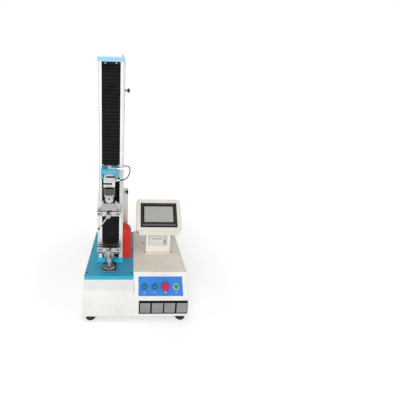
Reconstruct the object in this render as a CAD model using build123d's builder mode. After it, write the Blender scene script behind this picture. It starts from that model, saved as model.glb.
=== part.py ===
"""Single-column universal testing machine for the bench.

A folded steel base carries a deck with a column on the left and a control box on the right.
A ball screw in the column drives a crosshead with a load cell, and a specimen is clamped
between two screw grips. Frame: X right, Y to the rear, Z up, origin on the bench under the
middle of the base. All sizes are in millimetres.
"""
import os
from math import cos, radians, sin, tan

from build123d import *

os.makedirs("parts", exist_ok=True)

# Clearances
fit_gap = 0.3           # between casings and pieces that are assembled by hand
run_gap = 0.05          # radial, between a shaft and its bore

# Base casing and deck
base_width = 480.0
base_depth = 454.0
sheet = 2.0             # folded steel sheet of every casing
corner_radius = 4.0
foot_height = 25.0
foot_diameter = 48.0
foot_tread = 45.0       # diameter of the flat that rests on the bench
foot_round = 5.0
foot_recess = 14.0
foot_inset_x = 32.0
foot_inset_y = 24.0
seam_x = -13.0          # joint between the deck and the control box
deck_top = 199.0
deck_thickness = 19.0
deck_setback = 42.0     # how far the sloped front runs back under the deck
deck_bend = 157.0       # height where that slope starts
deck_rim = 34.0         # ledge of the casing that carries the deck
deck_screw_head = 9.0
deck_screw_shank = 5.0
deck_screw_depth = 5.0
deck_screw_inset = 8.0
deck_screw_front = 23.0
deck_screw_back = 10.0
deck_screw_pairs = 3
control_top = 204.0
control_setback = 64.0
control_bend = 117.5
vent_length = 46.0
vent_width = 5.0
vent_pitch = 11.0
vent_count = 6
pan_vent_pitch = 20.0

# Column
column_inset = 110.0    # column's middle from the left wall
column_front = -52.0
column_width = 120.0
column_depth = 124.0
column_length = 959.0
column_wall = 4.0
rail_width = 17.0       # front lips of the column beside the bellows
rail_depth = 10.0
flange_width = 126.0
flange_thickness = 7.0
flange_reach = 26.0     # flange in front of the column
cap_thickness = 21.0
cap_overhang = 1.0
cap_groove = 1.5
bearing_plate_thickness = 20.0
bearing_plate_setback = 24.0

# Screw drive
ball_screw_diameter = 25.0
journal_diameter = 17.0
journal_clear = 3.0     # diametral room for the journal in the flange and deck
guide_rod_diameter = 20.0
guide_rod_spacing = 58.0
guide_rod_seat = 15.0
pulley_height = 20.0
pulley_drop = 8.0       # from the underside of the deck to the pulleys
pulley_flange = 1.5
pulley_rim = 3.0        # flange radius beyond the belt seat
screw_pulley_diameter = 50.0
motor_pulley_diameter = 25.0
pulley_groove = 2.0
belt_thickness = 2.5
belt_spacing = 140.0    # between the screw and the motor shaft
motor_flange = 86.0
motor_flange_thickness = 10.0
motor_body_diameter = 80.0
motor_body_height = 130.0
motor_shaft_diameter = 14.0
motor_bearing_depth = 30.0

# Rear housing round the motor
rear_width = 166.0
rear_depth = 136.0
rear_height = 296.0

# Bellows
bellows_width = 84.0
bellows_depth = 12.0
bellows_setback = 2.0
bellows_skin = 1.2
pleat_count = 28
strip_height = 12.0

# Crosshead
load_axis_reach = 72.0  # load axis in front of the column
crosshead_top = 692.0
crosshead_height = 66.0
carriage_width = 84.0
carriage_depth = 76.0
carriage_setback = 18.0
neck_width = 68.0
arm_joint = 6.0         # arm's back plate in front of the column
arm_width = 72.0
arm_back_thickness = 12.0
arm_plate_thickness = 18.0
arm_cheek_thickness = 9.0
arm_cheek_clear = 2.0   # cheek above the cable gland
arm_front_reach = 22.0  # arm in front of the load axis
arm_edge = 4.0
cable_slot_y = -28.0
cable_slot_width = 12.0

# Load cell and its fasteners
cell_width = 51.0
cell_depth = 25.0
cell_height = 66.0
cell_slot = 5.5
cell_slot_length = 39.0
cell_slot_inset = 17.0  # from the cell's ends to the slots
cell_hole = 16.0
cell_thread = 12.0
cell_thread_depth = 15.0
cell_bolt_head = 18.0
cell_bolt_head_height = 11.0
cell_bolt_socket = 10.0
cell_bolt_socket_depth = 6.0
support_arm_left = 6.0
support_arm_right = 80.0
support_arm_width = 14.0
support_arm_thickness = 6.0
support_arm_hole = 5.0
gland_drop = 35.0       # gland axis below the cell's top
gland_base = 14.0
gland_base_length = 6.0
gland_dome = 11.0
gland_length = 21.0
gland_taper = 8.0       # degrees
cable_diameter = 5.5
cable_bend = 24.0
cable_run = 23.5        # straight run out of the gland
cable_loop_reach = 32.0 # outermost part of the loop from the column's right side
cable_loop_front = 20.0 # loop behind the load axis
cable_loop_back = 52.0
cable_loop_low = 30.0   # loop below the crosshead's top
cable_loop_high = 2.0
cable_entry_reach = 12.0    # start of the straight run into the column, from its right side
cable_entry_drop = 8.0

# Grips, heights counted from the clamp screw's axis towards the neck
grip_width = 107.0
grip_front_reach = 28.0
grip_back_reach = 27.0
grip_front_leg = 11.0
grip_opening = 6.0
grip_block_half = 10.0
grip_leg_top = 18.5
grip_throat_top = 15.5
grip_groove_low = 12.0
grip_groove_height = 5.0
grip_groove_depth = 4.0
grip_split_spacing = 66.0
grip_split_width = 2.0
grip_split_depth = 3.0
upper_shoulder_base = 104.0
upper_shoulder_crown = 54.0
lower_shoulder_base = 48.0
lower_shoulder_crown = 42.0
shoulder_crown_depth = 41.0
shoulder_top = 48.0
grip_neck_diameter = 39.0
grip_lip_diameter = 46.0
grip_lip_height = 9.0
upper_neck_length = 29.0
lower_neck_length = 34.0
adapter_diameter = 30.0
socket_depth = 32.0
cross_pin_diameter = 8.0
cross_pin_drop = 18.0   # pin below the lip's face
jaw_width = 100.0
jaw_thickness = 8.0
jaw_low = 10.0
jaw_high = 14.0
jaw_tooth = 1.0
jaw_tooth_pitch = 4.0
jaw_tooth_count = 5
jaw_tooth_mid = 3.875   # middle of the teeth from the screw's axis
guide_pin_diameter = 10.0
guide_pin_spacing = 86.0
guide_pin_short = 0.5
clamp_screw_diameter = 14.0
clamp_head_diameter = 21.0
clamp_head_length = 20.0
clamp_head_standoff = 7.0   # clears the block when the jaw is closed
clamp_head_chamfer = 1.5
bar_diameter = 7.0
bar_ball_diameter = 11.0
bar_reach = 76.0
upper_bar_lean = -35.0      # degrees from straight down, positive to the right
lower_bar_lean = 4.0
ring_gap = 1.0
ring_teeth = 28
ring_tooth_radius = 1.0
upper_ring_diameter = 53.0
upper_ring_height = 30.0
upper_ring_cell_gap = 4.0
lower_ring_diameter = 58.0
lower_ring_height = 14.0
lower_plate_size = 68.0
lower_plate_thickness = 4.0

# Limit rod on the right inside the column
rod_offset = 50.0
rod_y = 14.0
rod_diameter = 6.0
rod_foot = 258.0
rod_rise = 24.0         # rod above the cap
rod_guide_height = 14.0
rod_guide_depth = 18.0
trip_z = 300.0
trip_size = 10.0
trip_reach = 32.0
trip_window_height = 30.0
trip_play = 4.0
switch_width = 13.0
switch_height = 18.0
switch_reach = 28.0
upper_collar_z = 1046.0
lower_collar_z = 536.0
collar_height = 16.0
collar_depth = 18.0
collar_play = 0.5       # collar to column wall
collar_travel = 60.0
dog_height = 8.0
dog_reach = 55.0        # from the column's middle
dog_slot = 8.0
knob_slot_width = 7.5
knob_spacer_diameter = 14.0
knob_spacer_length = 8.0
knob_neck = 5.0
knob_diameter = 19.0
knob_length = 12.0
knob_fillet = 3.0

# Red guard over the limit switches
guard_reach = 44.0
guard_front = -43.0
guard_depth = 70.0
guard_height = 160.0
guard_radius = 43.0

# Control panel and push buttons, on the sloped front of the control box
panel_width = 204.0
panel_height = 79.0
panel_low = 9.0         # lower edge above the bend, along the slope
panel_inset = 127.0     # panel's middle from the right wall
panel_thickness = 2.0
panel_lip = 12.0
button_row = 46.0
up_button_offset = -76.0    # buttons from the panel's middle
down_button_offset = -28.5
stop_button_offset = 21.5
power_button_offset = 71.0
button_hole = 22.3
button_neck = 21.8
button_cap = 19.0
bezel_diameter = 28.0
bezel_height = 3.0
button_rise = 3.5       # cap above its bezel
button_cap_height = 4.5
button_neck_depth = 6.0
contact_block = 26.0
contact_depth = 30.0
plunger_diameter = 7.0
plunger_length = 16.0
mushroom_diameter = 36.0
mushroom_height = 10.0
mushroom_clear = 4.0    # mushroom above its bezel
mushroom_fillet = 4.0

# Console: pedestal, display and printer
console_inset = 122.5   # console's middle from the right wall
pedestal_width = 131.0
pedestal_depth = 70.0
pedestal_front = 0.0
pedestal_foot = 15.0
pedestal_foot_thickness = 3.0
display_width = 236.0
display_height = 166.0
display_thickness = 55.0
display_corner = 14.0
display_edge = 3.0
display_tilt = 35.0
display_low_y = -40.0
display_low_z = 345.0
display_cable_hole = 30.0
display_lip = 21.0      # upright lip under the display's face
frame_width = 191.0
frame_height = 125.0
frame_corner = 5.0
frame_recess = 3.0
frame_proud = 2.5
screen_width = 152.0
screen_height = 81.0
screen_rise = 4.0       # screen centre above the frame's centre
screen_recess = 1.5
printer_width = 101.0
printer_height = 56.0
printer_z = 272.0
printer_proud = 4.0
printer_well_width = 70.0
printer_well_height = 46.0
printer_well_depth = 50.0
printer_well_x = -8.0   # well centre from the printer's middle
door_thickness = 3.0
door_margin = 2.0
hinge_barrel_diameter = 5.0
hinge_pin_diameter = 2.5
hinge_lug = 6.0         # width of the printer's two hinge lugs
paper_width = 57.0
paper_diameter = 36.0
paper_core = 12.0

# Electrical parts
board_width = 150.0
board_depth = 180.0
board_thickness = 2.0
board_standoff = 10.0
drive_width = 80.0
drive_depth = 120.0
drive_height = 60.0
drive_fin_count = 4
inlet_width = 48.0
inlet_height = 28.0
inlet_depth = 22.0
inlet_inset = 50.0      # inlet's middle from the right wall
inlet_z = 70.0
inlet_flange = 6.0

# Levels and places that follow
base_left = -base_width / 2
base_right = base_width / 2
base_front = -base_depth / 2
base_back = base_depth / 2
column_x = base_left + column_inset
console_x = base_right - console_inset
panel_x = base_right - panel_inset
up_button_x = panel_x + up_button_offset
down_button_x = panel_x + down_button_offset
stop_button_x = panel_x + stop_button_offset
power_button_x = panel_x + power_button_offset
inlet_x = base_right - inlet_inset
deck_bottom = deck_top - deck_thickness
deck_front = base_front + deck_setback
pan_top = foot_height + sheet
column_back = column_front + column_depth
column_mid_y = (column_front + column_back) / 2
column_right = column_x + column_width / 2
flange_top = deck_top + flange_thickness
column_top = flange_top + column_length
cap_top = column_top + cap_thickness
lower_plate_top = flange_top + bearing_plate_thickness
upper_plate_bottom = column_top - bearing_plate_thickness
plate_front = column_front + bearing_plate_setback
plate_back = column_back - column_wall - fit_gap
screw_y = column_mid_y
motor_y = screw_y + belt_spacing
pulley_top = deck_bottom - pulley_drop
pulley_bottom = pulley_top - pulley_height
bellows_front = column_front + bellows_setback
bellows_back = bellows_front + bellows_depth
load_axis_y = column_front - load_axis_reach
crosshead_bottom = crosshead_top - crosshead_height
carriage_front = column_front + carriage_setback
arm_back = column_front - arm_joint
arm_front = load_axis_y - arm_front_reach
cell_top = crosshead_top - arm_plate_thickness
cell_bottom = cell_top - cell_height
gland_z = cell_top - gland_drop
cheek_bottom = gland_z + gland_base / 2 + arm_cheek_clear
cell_right = column_x + cell_width / 2
gland_end = cell_right + gland_length
upper_ring_top = cell_bottom - upper_ring_cell_gap
upper_ring_bottom = upper_ring_top - upper_ring_height
upper_lip_face = upper_ring_bottom - ring_gap
upper_grip_z = upper_lip_face - grip_lip_height - upper_neck_length - shoulder_top
lower_ring_bottom = deck_top + lower_plate_thickness + fit_gap
lower_ring_top = lower_ring_bottom + lower_ring_height
lower_lip_face = lower_ring_top + ring_gap
lower_grip_z = lower_lip_face + grip_lip_height + lower_neck_length + shoulder_top
grip_front = load_axis_y - grip_front_reach
grip_back = load_axis_y + grip_back_reach
throat_front = grip_front + grip_front_leg
fixed_jaw_face = load_axis_y + grip_opening / 2
moving_jaw_face = load_axis_y - grip_opening / 2
moving_jaw_back = moving_jaw_face - jaw_thickness
clamp_head_back = grip_front - clamp_head_standoff
clamp_head_mid = clamp_head_back - clamp_head_length / 2
rod_x = column_x + rod_offset
rod_top = cap_top + rod_rise
wall_inside = column_right - column_wall
guide_left = rod_x - rod_guide_depth / 2 + rod_diameter / 2
collar_right = wall_inside - collar_play
collar_left = 2 * rod_x - collar_right
knob_start = column_right + fit_gap
knob_head = knob_start + knob_spacer_length + knob_neck
bezel_top = panel_thickness + bezel_height
button_top = bezel_top + button_rise
contact_top = panel_thickness - button_neck_depth
pedestal_back = pedestal_front + pedestal_depth
printer_face = pedestal_front - printer_proud
door_back = printer_face - fit_gap
door_width = printer_well_width + 2 * door_margin
door_height = printer_well_height + 2 * door_margin
well_x = console_x + printer_well_x
hinge_y = door_back - hinge_barrel_diameter / 2
hinge_z = printer_z - door_height / 2 + hinge_barrel_diameter / 2

deck_outline = [
    (base_front, foot_height),
    (base_front, deck_bend),
    (deck_front, deck_bottom),
    (base_back, deck_bottom),
    (base_back, foot_height),
]
control_outline = [
    (base_front, foot_height),
    (base_front, control_bend),
    (base_front + control_setback, control_top),
    (base_back, control_top),
    (base_back, foot_height),
]

# Sloped panel: x across, y up the slope, z out of it, origin on the bend
panel_plane = Plane(
    origin=(0, base_front, control_bend),
    x_dir=(1, 0, 0),
    z_dir=(0, control_bend - control_top, control_setback),
)
# Display face: x across, y up the face, z out of it, origin on its lower edge
display_plane = Plane(
    origin=(console_x, display_low_y, display_low_z),
    x_dir=(1, 0, 0),
    z_dir=(0, -cos(radians(display_tilt)), sin(radians(display_tilt))),
)


def level(z):
    """Horizontal sketch plane at height z."""
    return Plane.XY.offset(z)


def front_plane(y):
    """Sketch plane at depth y facing the user, with X to the right and Z up."""
    return Plane.XZ.offset(-y)


def side_plane(x):
    """Sketch plane at x facing right, with Y to the rear and Z up."""
    return Plane.YZ.offset(x)


# Base casing: one folded and welded sheet shell with a low deck side and a higher control side
with BuildPart() as base_housing:
    with BuildSketch(side_plane(base_left)):
        with BuildLine():
            Polyline(*deck_outline, close=True)
        make_face()
    extrude(amount=seam_x - base_left)
    with BuildSketch(side_plane(seam_x)):
        with BuildLine():
            Polyline(*control_outline, close=True)
        make_face()
    extrude(amount=base_right - seam_x)
    fillet(base_housing.edges().filter_by(Axis.Z).group_by(Axis.X)[0], radius=corner_radius)
    fillet(base_housing.edges().filter_by(Axis.Z).group_by(Axis.X)[-1], radius=corner_radius)
    with BuildSketch(side_plane(base_left + sheet)):
        with BuildLine():
            Polyline(*deck_outline, close=True)
        make_face()
        offset(amount=-sheet, kind=Kind.INTERSECTION, mode=Mode.REPLACE)
    extrude(amount=seam_x - base_left - sheet, mode=Mode.SUBTRACT)
    with BuildSketch(side_plane(seam_x + sheet)):
        with BuildLine():
            Polyline(*control_outline, close=True)
        make_face()
        offset(amount=-sheet, kind=Kind.INTERSECTION, mode=Mode.REPLACE)
    extrude(amount=base_right - seam_x - 2 * sheet, mode=Mode.SUBTRACT)
    with BuildSketch(level(foot_height)):
        RectangleRounded(base_width - 2 * sheet, base_depth - 2 * sheet, corner_radius)
    extrude(amount=sheet, mode=Mode.SUBTRACT)
    with BuildSketch(level(deck_bottom)):
        with Locations(((base_left + seam_x) / 2, (deck_front + base_back) / 2)):
            Rectangle(seam_x - base_left - 2 * deck_rim, base_back - deck_front - 2 * deck_rim)
    extrude(amount=-sheet, mode=Mode.SUBTRACT)
    with BuildSketch(panel_plane):
        with Locations((panel_x, panel_low + panel_height / 2)):
            Rectangle(panel_width - 2 * panel_lip, panel_height - 2 * panel_lip)
    extrude(amount=-2 * sheet, mode=Mode.SUBTRACT)
    with BuildSketch(front_plane(base_back)):
        with Locations((inlet_x, inlet_z)):
            Rectangle(inlet_width + 2 * fit_gap, inlet_height + 2 * fit_gap)
        with Locations((console_x, (foot_height + control_top) / 2)):
            with GridLocations(0, vent_pitch, 1, vent_count):
                SlotOverall(vent_length, vent_width)
    extrude(amount=sheet, mode=Mode.SUBTRACT)
base_housing.part.label = "base_housing"
export_step(base_housing.part, "parts/base_housing.step")

# Bottom pan: flat plate inside the lower rim of the casing, with rows of air slots
with BuildPart() as bottom_pan:
    with BuildSketch(level(foot_height)):
        RectangleRounded(
            base_width - 2 * sheet - 2 * fit_gap,
            base_depth - 2 * sheet - 2 * fit_gap,
            corner_radius,
        )
        with Locations((console_x, 0)):
            with GridLocations(0, pan_vent_pitch, 1, vent_count):
                SlotOverall(vent_length, vent_width, mode=Mode.SUBTRACT)
    extrude(amount=sheet)
bottom_pan.part.label = "bottom_pan"
export_step(bottom_pan.part, "parts/bottom_pan.step")

# Four bowl-shaped rubber feet under the pan, hollowed for their screws
with BuildPart() as rubber_feet:
    with GridLocations(base_width - 2 * foot_inset_x, base_depth - 2 * foot_inset_y, 2, 2):
        with Locations((0, 0, foot_height)):
            Cone(
                foot_tread / 2,
                foot_diameter / 2,
                foot_height,
                align=(Align.CENTER, Align.CENTER, Align.MAX),
            )
    fillet(rubber_feet.edges().group_by(Axis.Z)[0], radius=foot_round)
    with BuildSketch(level(0)):
        with GridLocations(base_width - 2 * foot_inset_x, base_depth - 2 * foot_inset_y, 2, 2):
            Circle(foot_recess / 2)
    extrude(amount=foot_height / 2, mode=Mode.SUBTRACT)
rubber_feet.part.label = "rubber_feet"
export_step(rubber_feet.part, "parts/rubber_feet.step")

# Deck: thick plate that carries the column, bored for the screw, the motor shaft and the grip
deck_width = seam_x - base_left - fit_gap
deck_depth = base_back - deck_front
deck_screw_run = base_back - deck_screw_back - deck_front - deck_screw_front
deck_screw_mid_y = deck_front + deck_screw_front + deck_screw_run / 2
deck_screw_pitch = deck_screw_run / (deck_screw_pairs - 1)
with BuildPart() as deck_plate:
    with BuildSketch(level(deck_bottom)):
        with Locations((base_left + deck_width / 2, (deck_front + base_back) / 2)):
            Rectangle(deck_width, deck_depth)
        with Locations((column_x, screw_y), (column_x, motor_y)):
            Circle((journal_diameter + journal_clear) / 2, mode=Mode.SUBTRACT)
        with Locations((column_x, load_axis_y)):
            Circle(cell_thread / 2, mode=Mode.SUBTRACT)
    extrude(amount=deck_thickness)
    fillet(deck_plate.edges().filter_by(Axis.Z).group_by(Axis.Y)[0], radius=corner_radius)
    with Locations((base_left + deck_width / 2, deck_screw_mid_y, deck_top)):
        with GridLocations(deck_width - 2 * deck_screw_inset, deck_screw_pitch, 2, deck_screw_pairs):
            CounterBoreHole(
                deck_screw_shank / 2 + run_gap,
                deck_screw_head / 2 + fit_gap,
                deck_screw_depth,
                deck_thickness,
            )
deck_plate.part.label = "deck_plate"
export_step(deck_plate.part, "parts/deck_plate.step")

# Frame fasteners: six deck screws sunk in their counterbores, and the lower grip's cross pin
with BuildPart() as frame_fasteners:
    with Locations((base_left + deck_width / 2, deck_screw_mid_y, deck_top)):
        with GridLocations(deck_width - 2 * deck_screw_inset, deck_screw_pitch, 2, deck_screw_pairs):
            Cylinder(
                deck_screw_head / 2,
                deck_screw_depth,
                align=(Align.CENTER, Align.CENTER, Align.MAX),
            )
            Cylinder(
                deck_screw_shank / 2,
                deck_thickness,
                align=(Align.CENTER, Align.CENTER, Align.MAX),
            )
    with BuildSketch(front_plane(load_axis_y - grip_neck_diameter / 2)):
        with Locations((column_x, lower_lip_face + cross_pin_drop)):
            Circle(cross_pin_diameter / 2)
    extrude(amount=-grip_neck_diameter)
frame_fasteners.part.label = "frame_fasteners"
export_step(frame_fasteners.part, "parts/frame_fasteners.step")

# Foot flange that spreads the column's load on the deck
with BuildPart() as column_flange:
    with BuildSketch(level(deck_top)):
        with Locations((column_x, (column_front - flange_reach + column_back) / 2)):
            Rectangle(flange_width, column_depth + flange_reach)
        with Locations((column_x, screw_y)):
            Circle((journal_diameter + journal_clear) / 2, mode=Mode.SUBTRACT)
    extrude(amount=flange_thickness)
    fillet(column_flange.edges().filter_by(Axis.Z).group_by(Axis.Y)[0], radius=corner_radius)
column_flange.part.label = "column_flange"
export_step(column_flange.part, "parts/column_flange.step")

# Column: channel with front lips, slotted on the right for the limit knobs, cable and trip arm
with BuildPart() as column_profile:
    with BuildSketch(level(flange_top)):
        with Locations((column_x, column_mid_y)):
            RectangleRounded(column_width, column_depth, corner_radius)
        with Locations((column_x, (column_front + rail_depth + column_back - column_wall) / 2)):
            Rectangle(
                column_width - 2 * column_wall,
                column_depth - rail_depth - column_wall,
                mode=Mode.SUBTRACT,
            )
        with Locations((column_x, column_front + rail_depth / 2)):
            Rectangle(column_width - 2 * rail_width, rail_depth, mode=Mode.SUBTRACT)
    extrude(amount=column_length)
    with BuildSketch(side_plane(column_right)):
        with Locations((rod_y, (upper_collar_z + lower_collar_z) / 2)):
            SlotCenterToCenter(
                upper_collar_z - lower_collar_z + 2 * collar_travel + collar_height,
                knob_slot_width,
                rotation=90,
            )
        with Locations((cable_slot_y, (upper_collar_z + lower_collar_z) / 2)):
            SlotCenterToCenter(
                upper_collar_z - lower_collar_z,
                cable_slot_width,
                rotation=90,
            )
        with Locations((rod_y, trip_z)):
            Rectangle(trip_size + 2 * trip_play, trip_window_height)
    extrude(amount=-column_wall, mode=Mode.SUBTRACT)
column_profile.part.label = "column_profile"
export_step(column_profile.part, "parts/column_profile.step")

# Cap: plate with a shadow groove round its middle and a bore for the limit rod
with BuildPart() as column_cap:
    with BuildSketch(level(column_top)):
        with Locations((column_x, column_mid_y)):
            RectangleRounded(
                column_width + 2 * cap_overhang,
                column_depth + 2 * cap_overhang,
                corner_radius,
            )
    extrude(amount=cap_thickness)
    fillet(column_cap.faces().sort_by(Axis.Z)[-1].edges(), radius=cap_groove)
    with BuildSketch(level(column_top + cap_thickness / 2 - cap_groove / 2)):
        with Locations((column_x, column_mid_y)):
            RectangleRounded(
                column_width + 2 * cap_overhang,
                column_depth + 2 * cap_overhang,
                corner_radius,
            )
            Rectangle(
                column_width + 2 * cap_overhang - 2 * cap_groove,
                column_depth + 2 * cap_overhang - 2 * cap_groove,
                mode=Mode.SUBTRACT,
            )
    extrude(amount=cap_groove, mode=Mode.SUBTRACT)
    with BuildSketch(level(column_top)):
        with Locations((rod_x, rod_y)):
            Circle(rod_diameter / 2 + fit_gap)
    extrude(amount=cap_thickness, mode=Mode.SUBTRACT)
column_cap.part.label = "column_cap"
export_step(column_cap.part, "parts/column_cap.step")

# Bearing plates at both ends of the column, and the limit rod's lower guide on the right wall
plate_width = column_width - 2 * column_wall - 2 * fit_gap
with BuildPart() as bearing_plates:
    for plate_z in (flange_top, upper_plate_bottom):
        with BuildSketch(level(plate_z)):
            with Locations((column_x, (plate_front + plate_back) / 2)):
                Rectangle(plate_width, plate_back - plate_front)
            with Locations((column_x, screw_y)):
                Circle(journal_diameter / 2 + run_gap, mode=Mode.SUBTRACT)
                with GridLocations(guide_rod_spacing, 0, 2, 1):
                    Circle(guide_rod_diameter / 2 + run_gap, mode=Mode.SUBTRACT)
            with Locations((rod_x, rod_y)):
                Circle(rod_diameter / 2 + run_gap, mode=Mode.SUBTRACT)
        extrude(amount=bearing_plate_thickness)
    with BuildSketch(level(rod_foot)):
        with Locations(((guide_left + wall_inside) / 2, rod_y)):
            Rectangle(wall_inside - guide_left, rod_guide_depth)
        with Locations((rod_x, rod_y)):
            Circle(rod_diameter / 2 + run_gap, mode=Mode.SUBTRACT)
    extrude(amount=rod_guide_height)
bearing_plates.part.label = "bearing_plates"
export_step(bearing_plates.part, "parts/bearing_plates.step")

# Two ground guide rods held in the bearing plates
with BuildPart() as guide_rods:
    with BuildSketch(level(lower_plate_top - guide_rod_seat)):
        with Locations((column_x, screw_y)):
            with GridLocations(guide_rod_spacing, 0, 2, 1):
                Circle(guide_rod_diameter / 2)
    extrude(amount=upper_plate_bottom - lower_plate_top + 2 * guide_rod_seat)
guide_rods.part.label = "guide_rods"
export_step(guide_rods.part, "parts/guide_rods.step")

# Clamp strips that hold the ends of the bellows between the column's lips
with BuildPart() as bellows_strips:
    for strip_z in (flange_top, column_top - strip_height):
        with BuildSketch(level(strip_z)):
            with Locations((column_x, (bellows_front + bellows_back) / 2)):
                Rectangle(column_width - 2 * rail_width - 2 * fit_gap, bellows_depth)
        extrude(amount=strip_height)
bellows_strips.part.label = "bellows_strips"
export_step(bellows_strips.part, "parts/bellows_strips.step")


def build_bellows(bottom, top):
    """Zigzag sheet between two heights, swept across the column's opening."""
    half_pleat = (top - bottom) / (2 * pleat_count)
    front = bellows_front + bellows_skin
    back = bellows_back - bellows_skin
    folds = [(front if fold % 2 else back, bottom + fold * half_pleat) for fold in range(2 * pleat_count + 1)]
    with BuildPart() as bellows:
        with BuildSketch(side_plane(column_x - bellows_width / 2)):
            with BuildLine():
                sheet_line = Polyline(*folds)
                offset(sheet_line, amount=bellows_skin / 2, side=Side.BOTH)
            make_face()
        extrude(amount=bellows_width)
        for end in (bottom, top):
            split_side = Keep.TOP if end == bottom else Keep.BOTTOM
            split(bisect_by=level(end), keep=split_side)
    return bellows.part


# Bellows above and below the crosshead
upper_bellows = build_bellows(crosshead_top + fit_gap, column_top - strip_height)
upper_bellows.label = "upper_bellows"
export_step(upper_bellows, "parts/upper_bellows.step")
lower_bellows = build_bellows(flange_top + strip_height, crosshead_bottom - fit_gap)
lower_bellows.label = "lower_bellows"
export_step(lower_bellows, "parts/lower_bellows.step")

# Ball screw: ground screw with journals, the lower one running down through the deck
with BuildPart() as ball_screw:
    with BuildSketch(level(lower_plate_top + fit_gap)):
        with Locations((column_x, screw_y)):
            Circle(ball_screw_diameter / 2)
    extrude(amount=upper_plate_bottom - lower_plate_top - 2 * fit_gap)
    with BuildSketch(level(pulley_bottom)):
        with Locations((column_x, screw_y)):
            Circle(journal_diameter / 2)
    extrude(amount=column_top - fit_gap - pulley_bottom)
ball_screw.part.label = "ball_screw"
export_step(ball_screw.part, "parts/ball_screw.step")


def build_pulley(axis_y, seat_diameter, bore_diameter):
    """Flanged toothed pulley on a vertical axis behind the column's middle."""
    tooth_count = round(seat_diameter)
    with BuildPart() as pulley:
        for flange_z in (pulley_bottom, pulley_top - pulley_flange):
            with BuildSketch(level(flange_z)):
                with Locations((column_x, axis_y)):
                    Circle(seat_diameter / 2 + pulley_rim)
            extrude(amount=pulley_flange)
        with BuildSketch(level(pulley_bottom)):
            with Locations((column_x, axis_y)):
                Circle(seat_diameter / 2)
                with PolarLocations(seat_diameter / 2, tooth_count):
                    Rectangle(pulley_groove, pulley_groove / 2, mode=Mode.SUBTRACT)
        extrude(amount=pulley_height)
        if bore_diameter:
            with BuildSketch(level(pulley_bottom)):
                with Locations((column_x, axis_y)):
                    Circle(bore_diameter / 2)
            extrude(amount=pulley_height, mode=Mode.SUBTRACT)
    return pulley.part


# Pulley on the lower end of the screw
screw_pulley = build_pulley(screw_y, screw_pulley_diameter, journal_diameter)
screw_pulley.label = "screw_pulley"
export_step(screw_pulley, "parts/screw_pulley.step")

# Motor pulley with the motor's shaft
with BuildPart() as motor_pulley:
    add(build_pulley(motor_y, motor_pulley_diameter, 0))
    with BuildSketch(level(pulley_top)):
        with Locations((column_x, motor_y)):
            Circle(motor_shaft_diameter / 2)
    extrude(amount=deck_top + motor_bearing_depth - pulley_top - fit_gap)
motor_pulley.part.label = "motor_pulley"
export_step(motor_pulley.part, "parts/motor_pulley.step")

# Toothed belt round both pulleys
with BuildPart() as timing_belt:
    with BuildSketch(level(pulley_bottom + pulley_flange + fit_gap)):
        with Locations((column_x, screw_y)):
            Circle(screw_pulley_diameter / 2 + fit_gap + belt_thickness)
        with Locations((column_x, motor_y)):
            Circle(motor_pulley_diameter / 2 + fit_gap + belt_thickness)
        make_hull()
        offset(amount=-belt_thickness, mode=Mode.SUBTRACT)
    extrude(amount=pulley_height - 2 * pulley_flange - 2 * fit_gap)
timing_belt.part.label = "timing_belt"
export_step(timing_belt.part, "parts/timing_belt.step")

# Servo motor standing on the deck: square flange, round body and a square rear cap
with BuildPart() as drive_motor:
    with BuildSketch(level(deck_top)):
        with Locations((column_x, motor_y)):
            RectangleRounded(motor_flange, motor_flange, corner_radius)
    extrude(amount=motor_flange_thickness)
    with BuildSketch(level(deck_top + motor_flange_thickness)):
        with Locations((column_x, motor_y)):
            Circle(motor_body_diameter / 2)
    extrude(amount=motor_body_height)
    fillet(drive_motor.faces().sort_by(Axis.Z)[-1].edges(), radius=corner_radius)
    with BuildSketch(level(deck_top)):
        with Locations((column_x, motor_y)):
            Circle(motor_shaft_diameter / 2 + run_gap)
    extrude(amount=motor_bearing_depth, mode=Mode.SUBTRACT)
drive_motor.part.label = "drive_motor"
export_step(drive_motor.part, "parts/drive_motor.step")

# Rear housing: sheet box open at the bottom, louvred at the back, behind the column
with BuildPart() as rear_housing:
    with BuildSketch(level(deck_top)):
        with Locations((column_x, column_back + rear_depth / 2)):
            Rectangle(rear_width, rear_depth)
    extrude(amount=rear_height)
    fillet(rear_housing.edges().filter_by(Axis.Z), radius=corner_radius)
    fillet(rear_housing.faces().sort_by(Axis.Z)[-1].edges(), radius=corner_radius)
    offset(amount=-sheet, openings=rear_housing.faces().sort_by(Axis.Z)[0])
    with BuildSketch(front_plane(column_back + rear_depth)):
        with Locations((column_x, deck_top + rear_height / 2)):
            with GridLocations(0, vent_pitch, 1, vent_count):
                SlotOverall(vent_length, vent_width)
    extrude(amount=sheet, mode=Mode.SUBTRACT)
rear_housing.part.label = "rear_housing"
export_step(rear_housing.part, "parts/rear_housing.step")

# Carriage: block on the guide rods with the screw's nut, a neck out to the arm and a trip dog
with BuildPart() as carriage:
    with BuildSketch(level(crosshead_bottom)):
        with Locations((column_x, carriage_front + carriage_depth / 2)):
            Rectangle(carriage_width, carriage_depth)
        with Locations((column_x, (arm_back + carriage_front) / 2)):
            Rectangle(neck_width, carriage_front - arm_back)
    extrude(amount=crosshead_height)
    with BuildSketch(level(crosshead_top - dog_height)):
        with Locations((column_x + (carriage_width / 2 + dog_reach) / 2, rod_y)):
            Rectangle(dog_reach - carriage_width / 2, collar_depth)
    extrude(amount=dog_height)
    with BuildSketch(level(crosshead_bottom)):
        with Locations((column_x, screw_y)):
            Circle(ball_screw_diameter / 2 + run_gap)
            with GridLocations(guide_rod_spacing, 0, 2, 1):
                Circle(guide_rod_diameter / 2 + run_gap)
        with Locations((rod_x, rod_y)):
            Circle(dog_slot / 2)
        with Locations(((rod_x + wall_inside) / 2, rod_y)):
            Rectangle(wall_inside - rod_x, dog_slot)
    extrude(amount=crosshead_height, mode=Mode.SUBTRACT)
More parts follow.
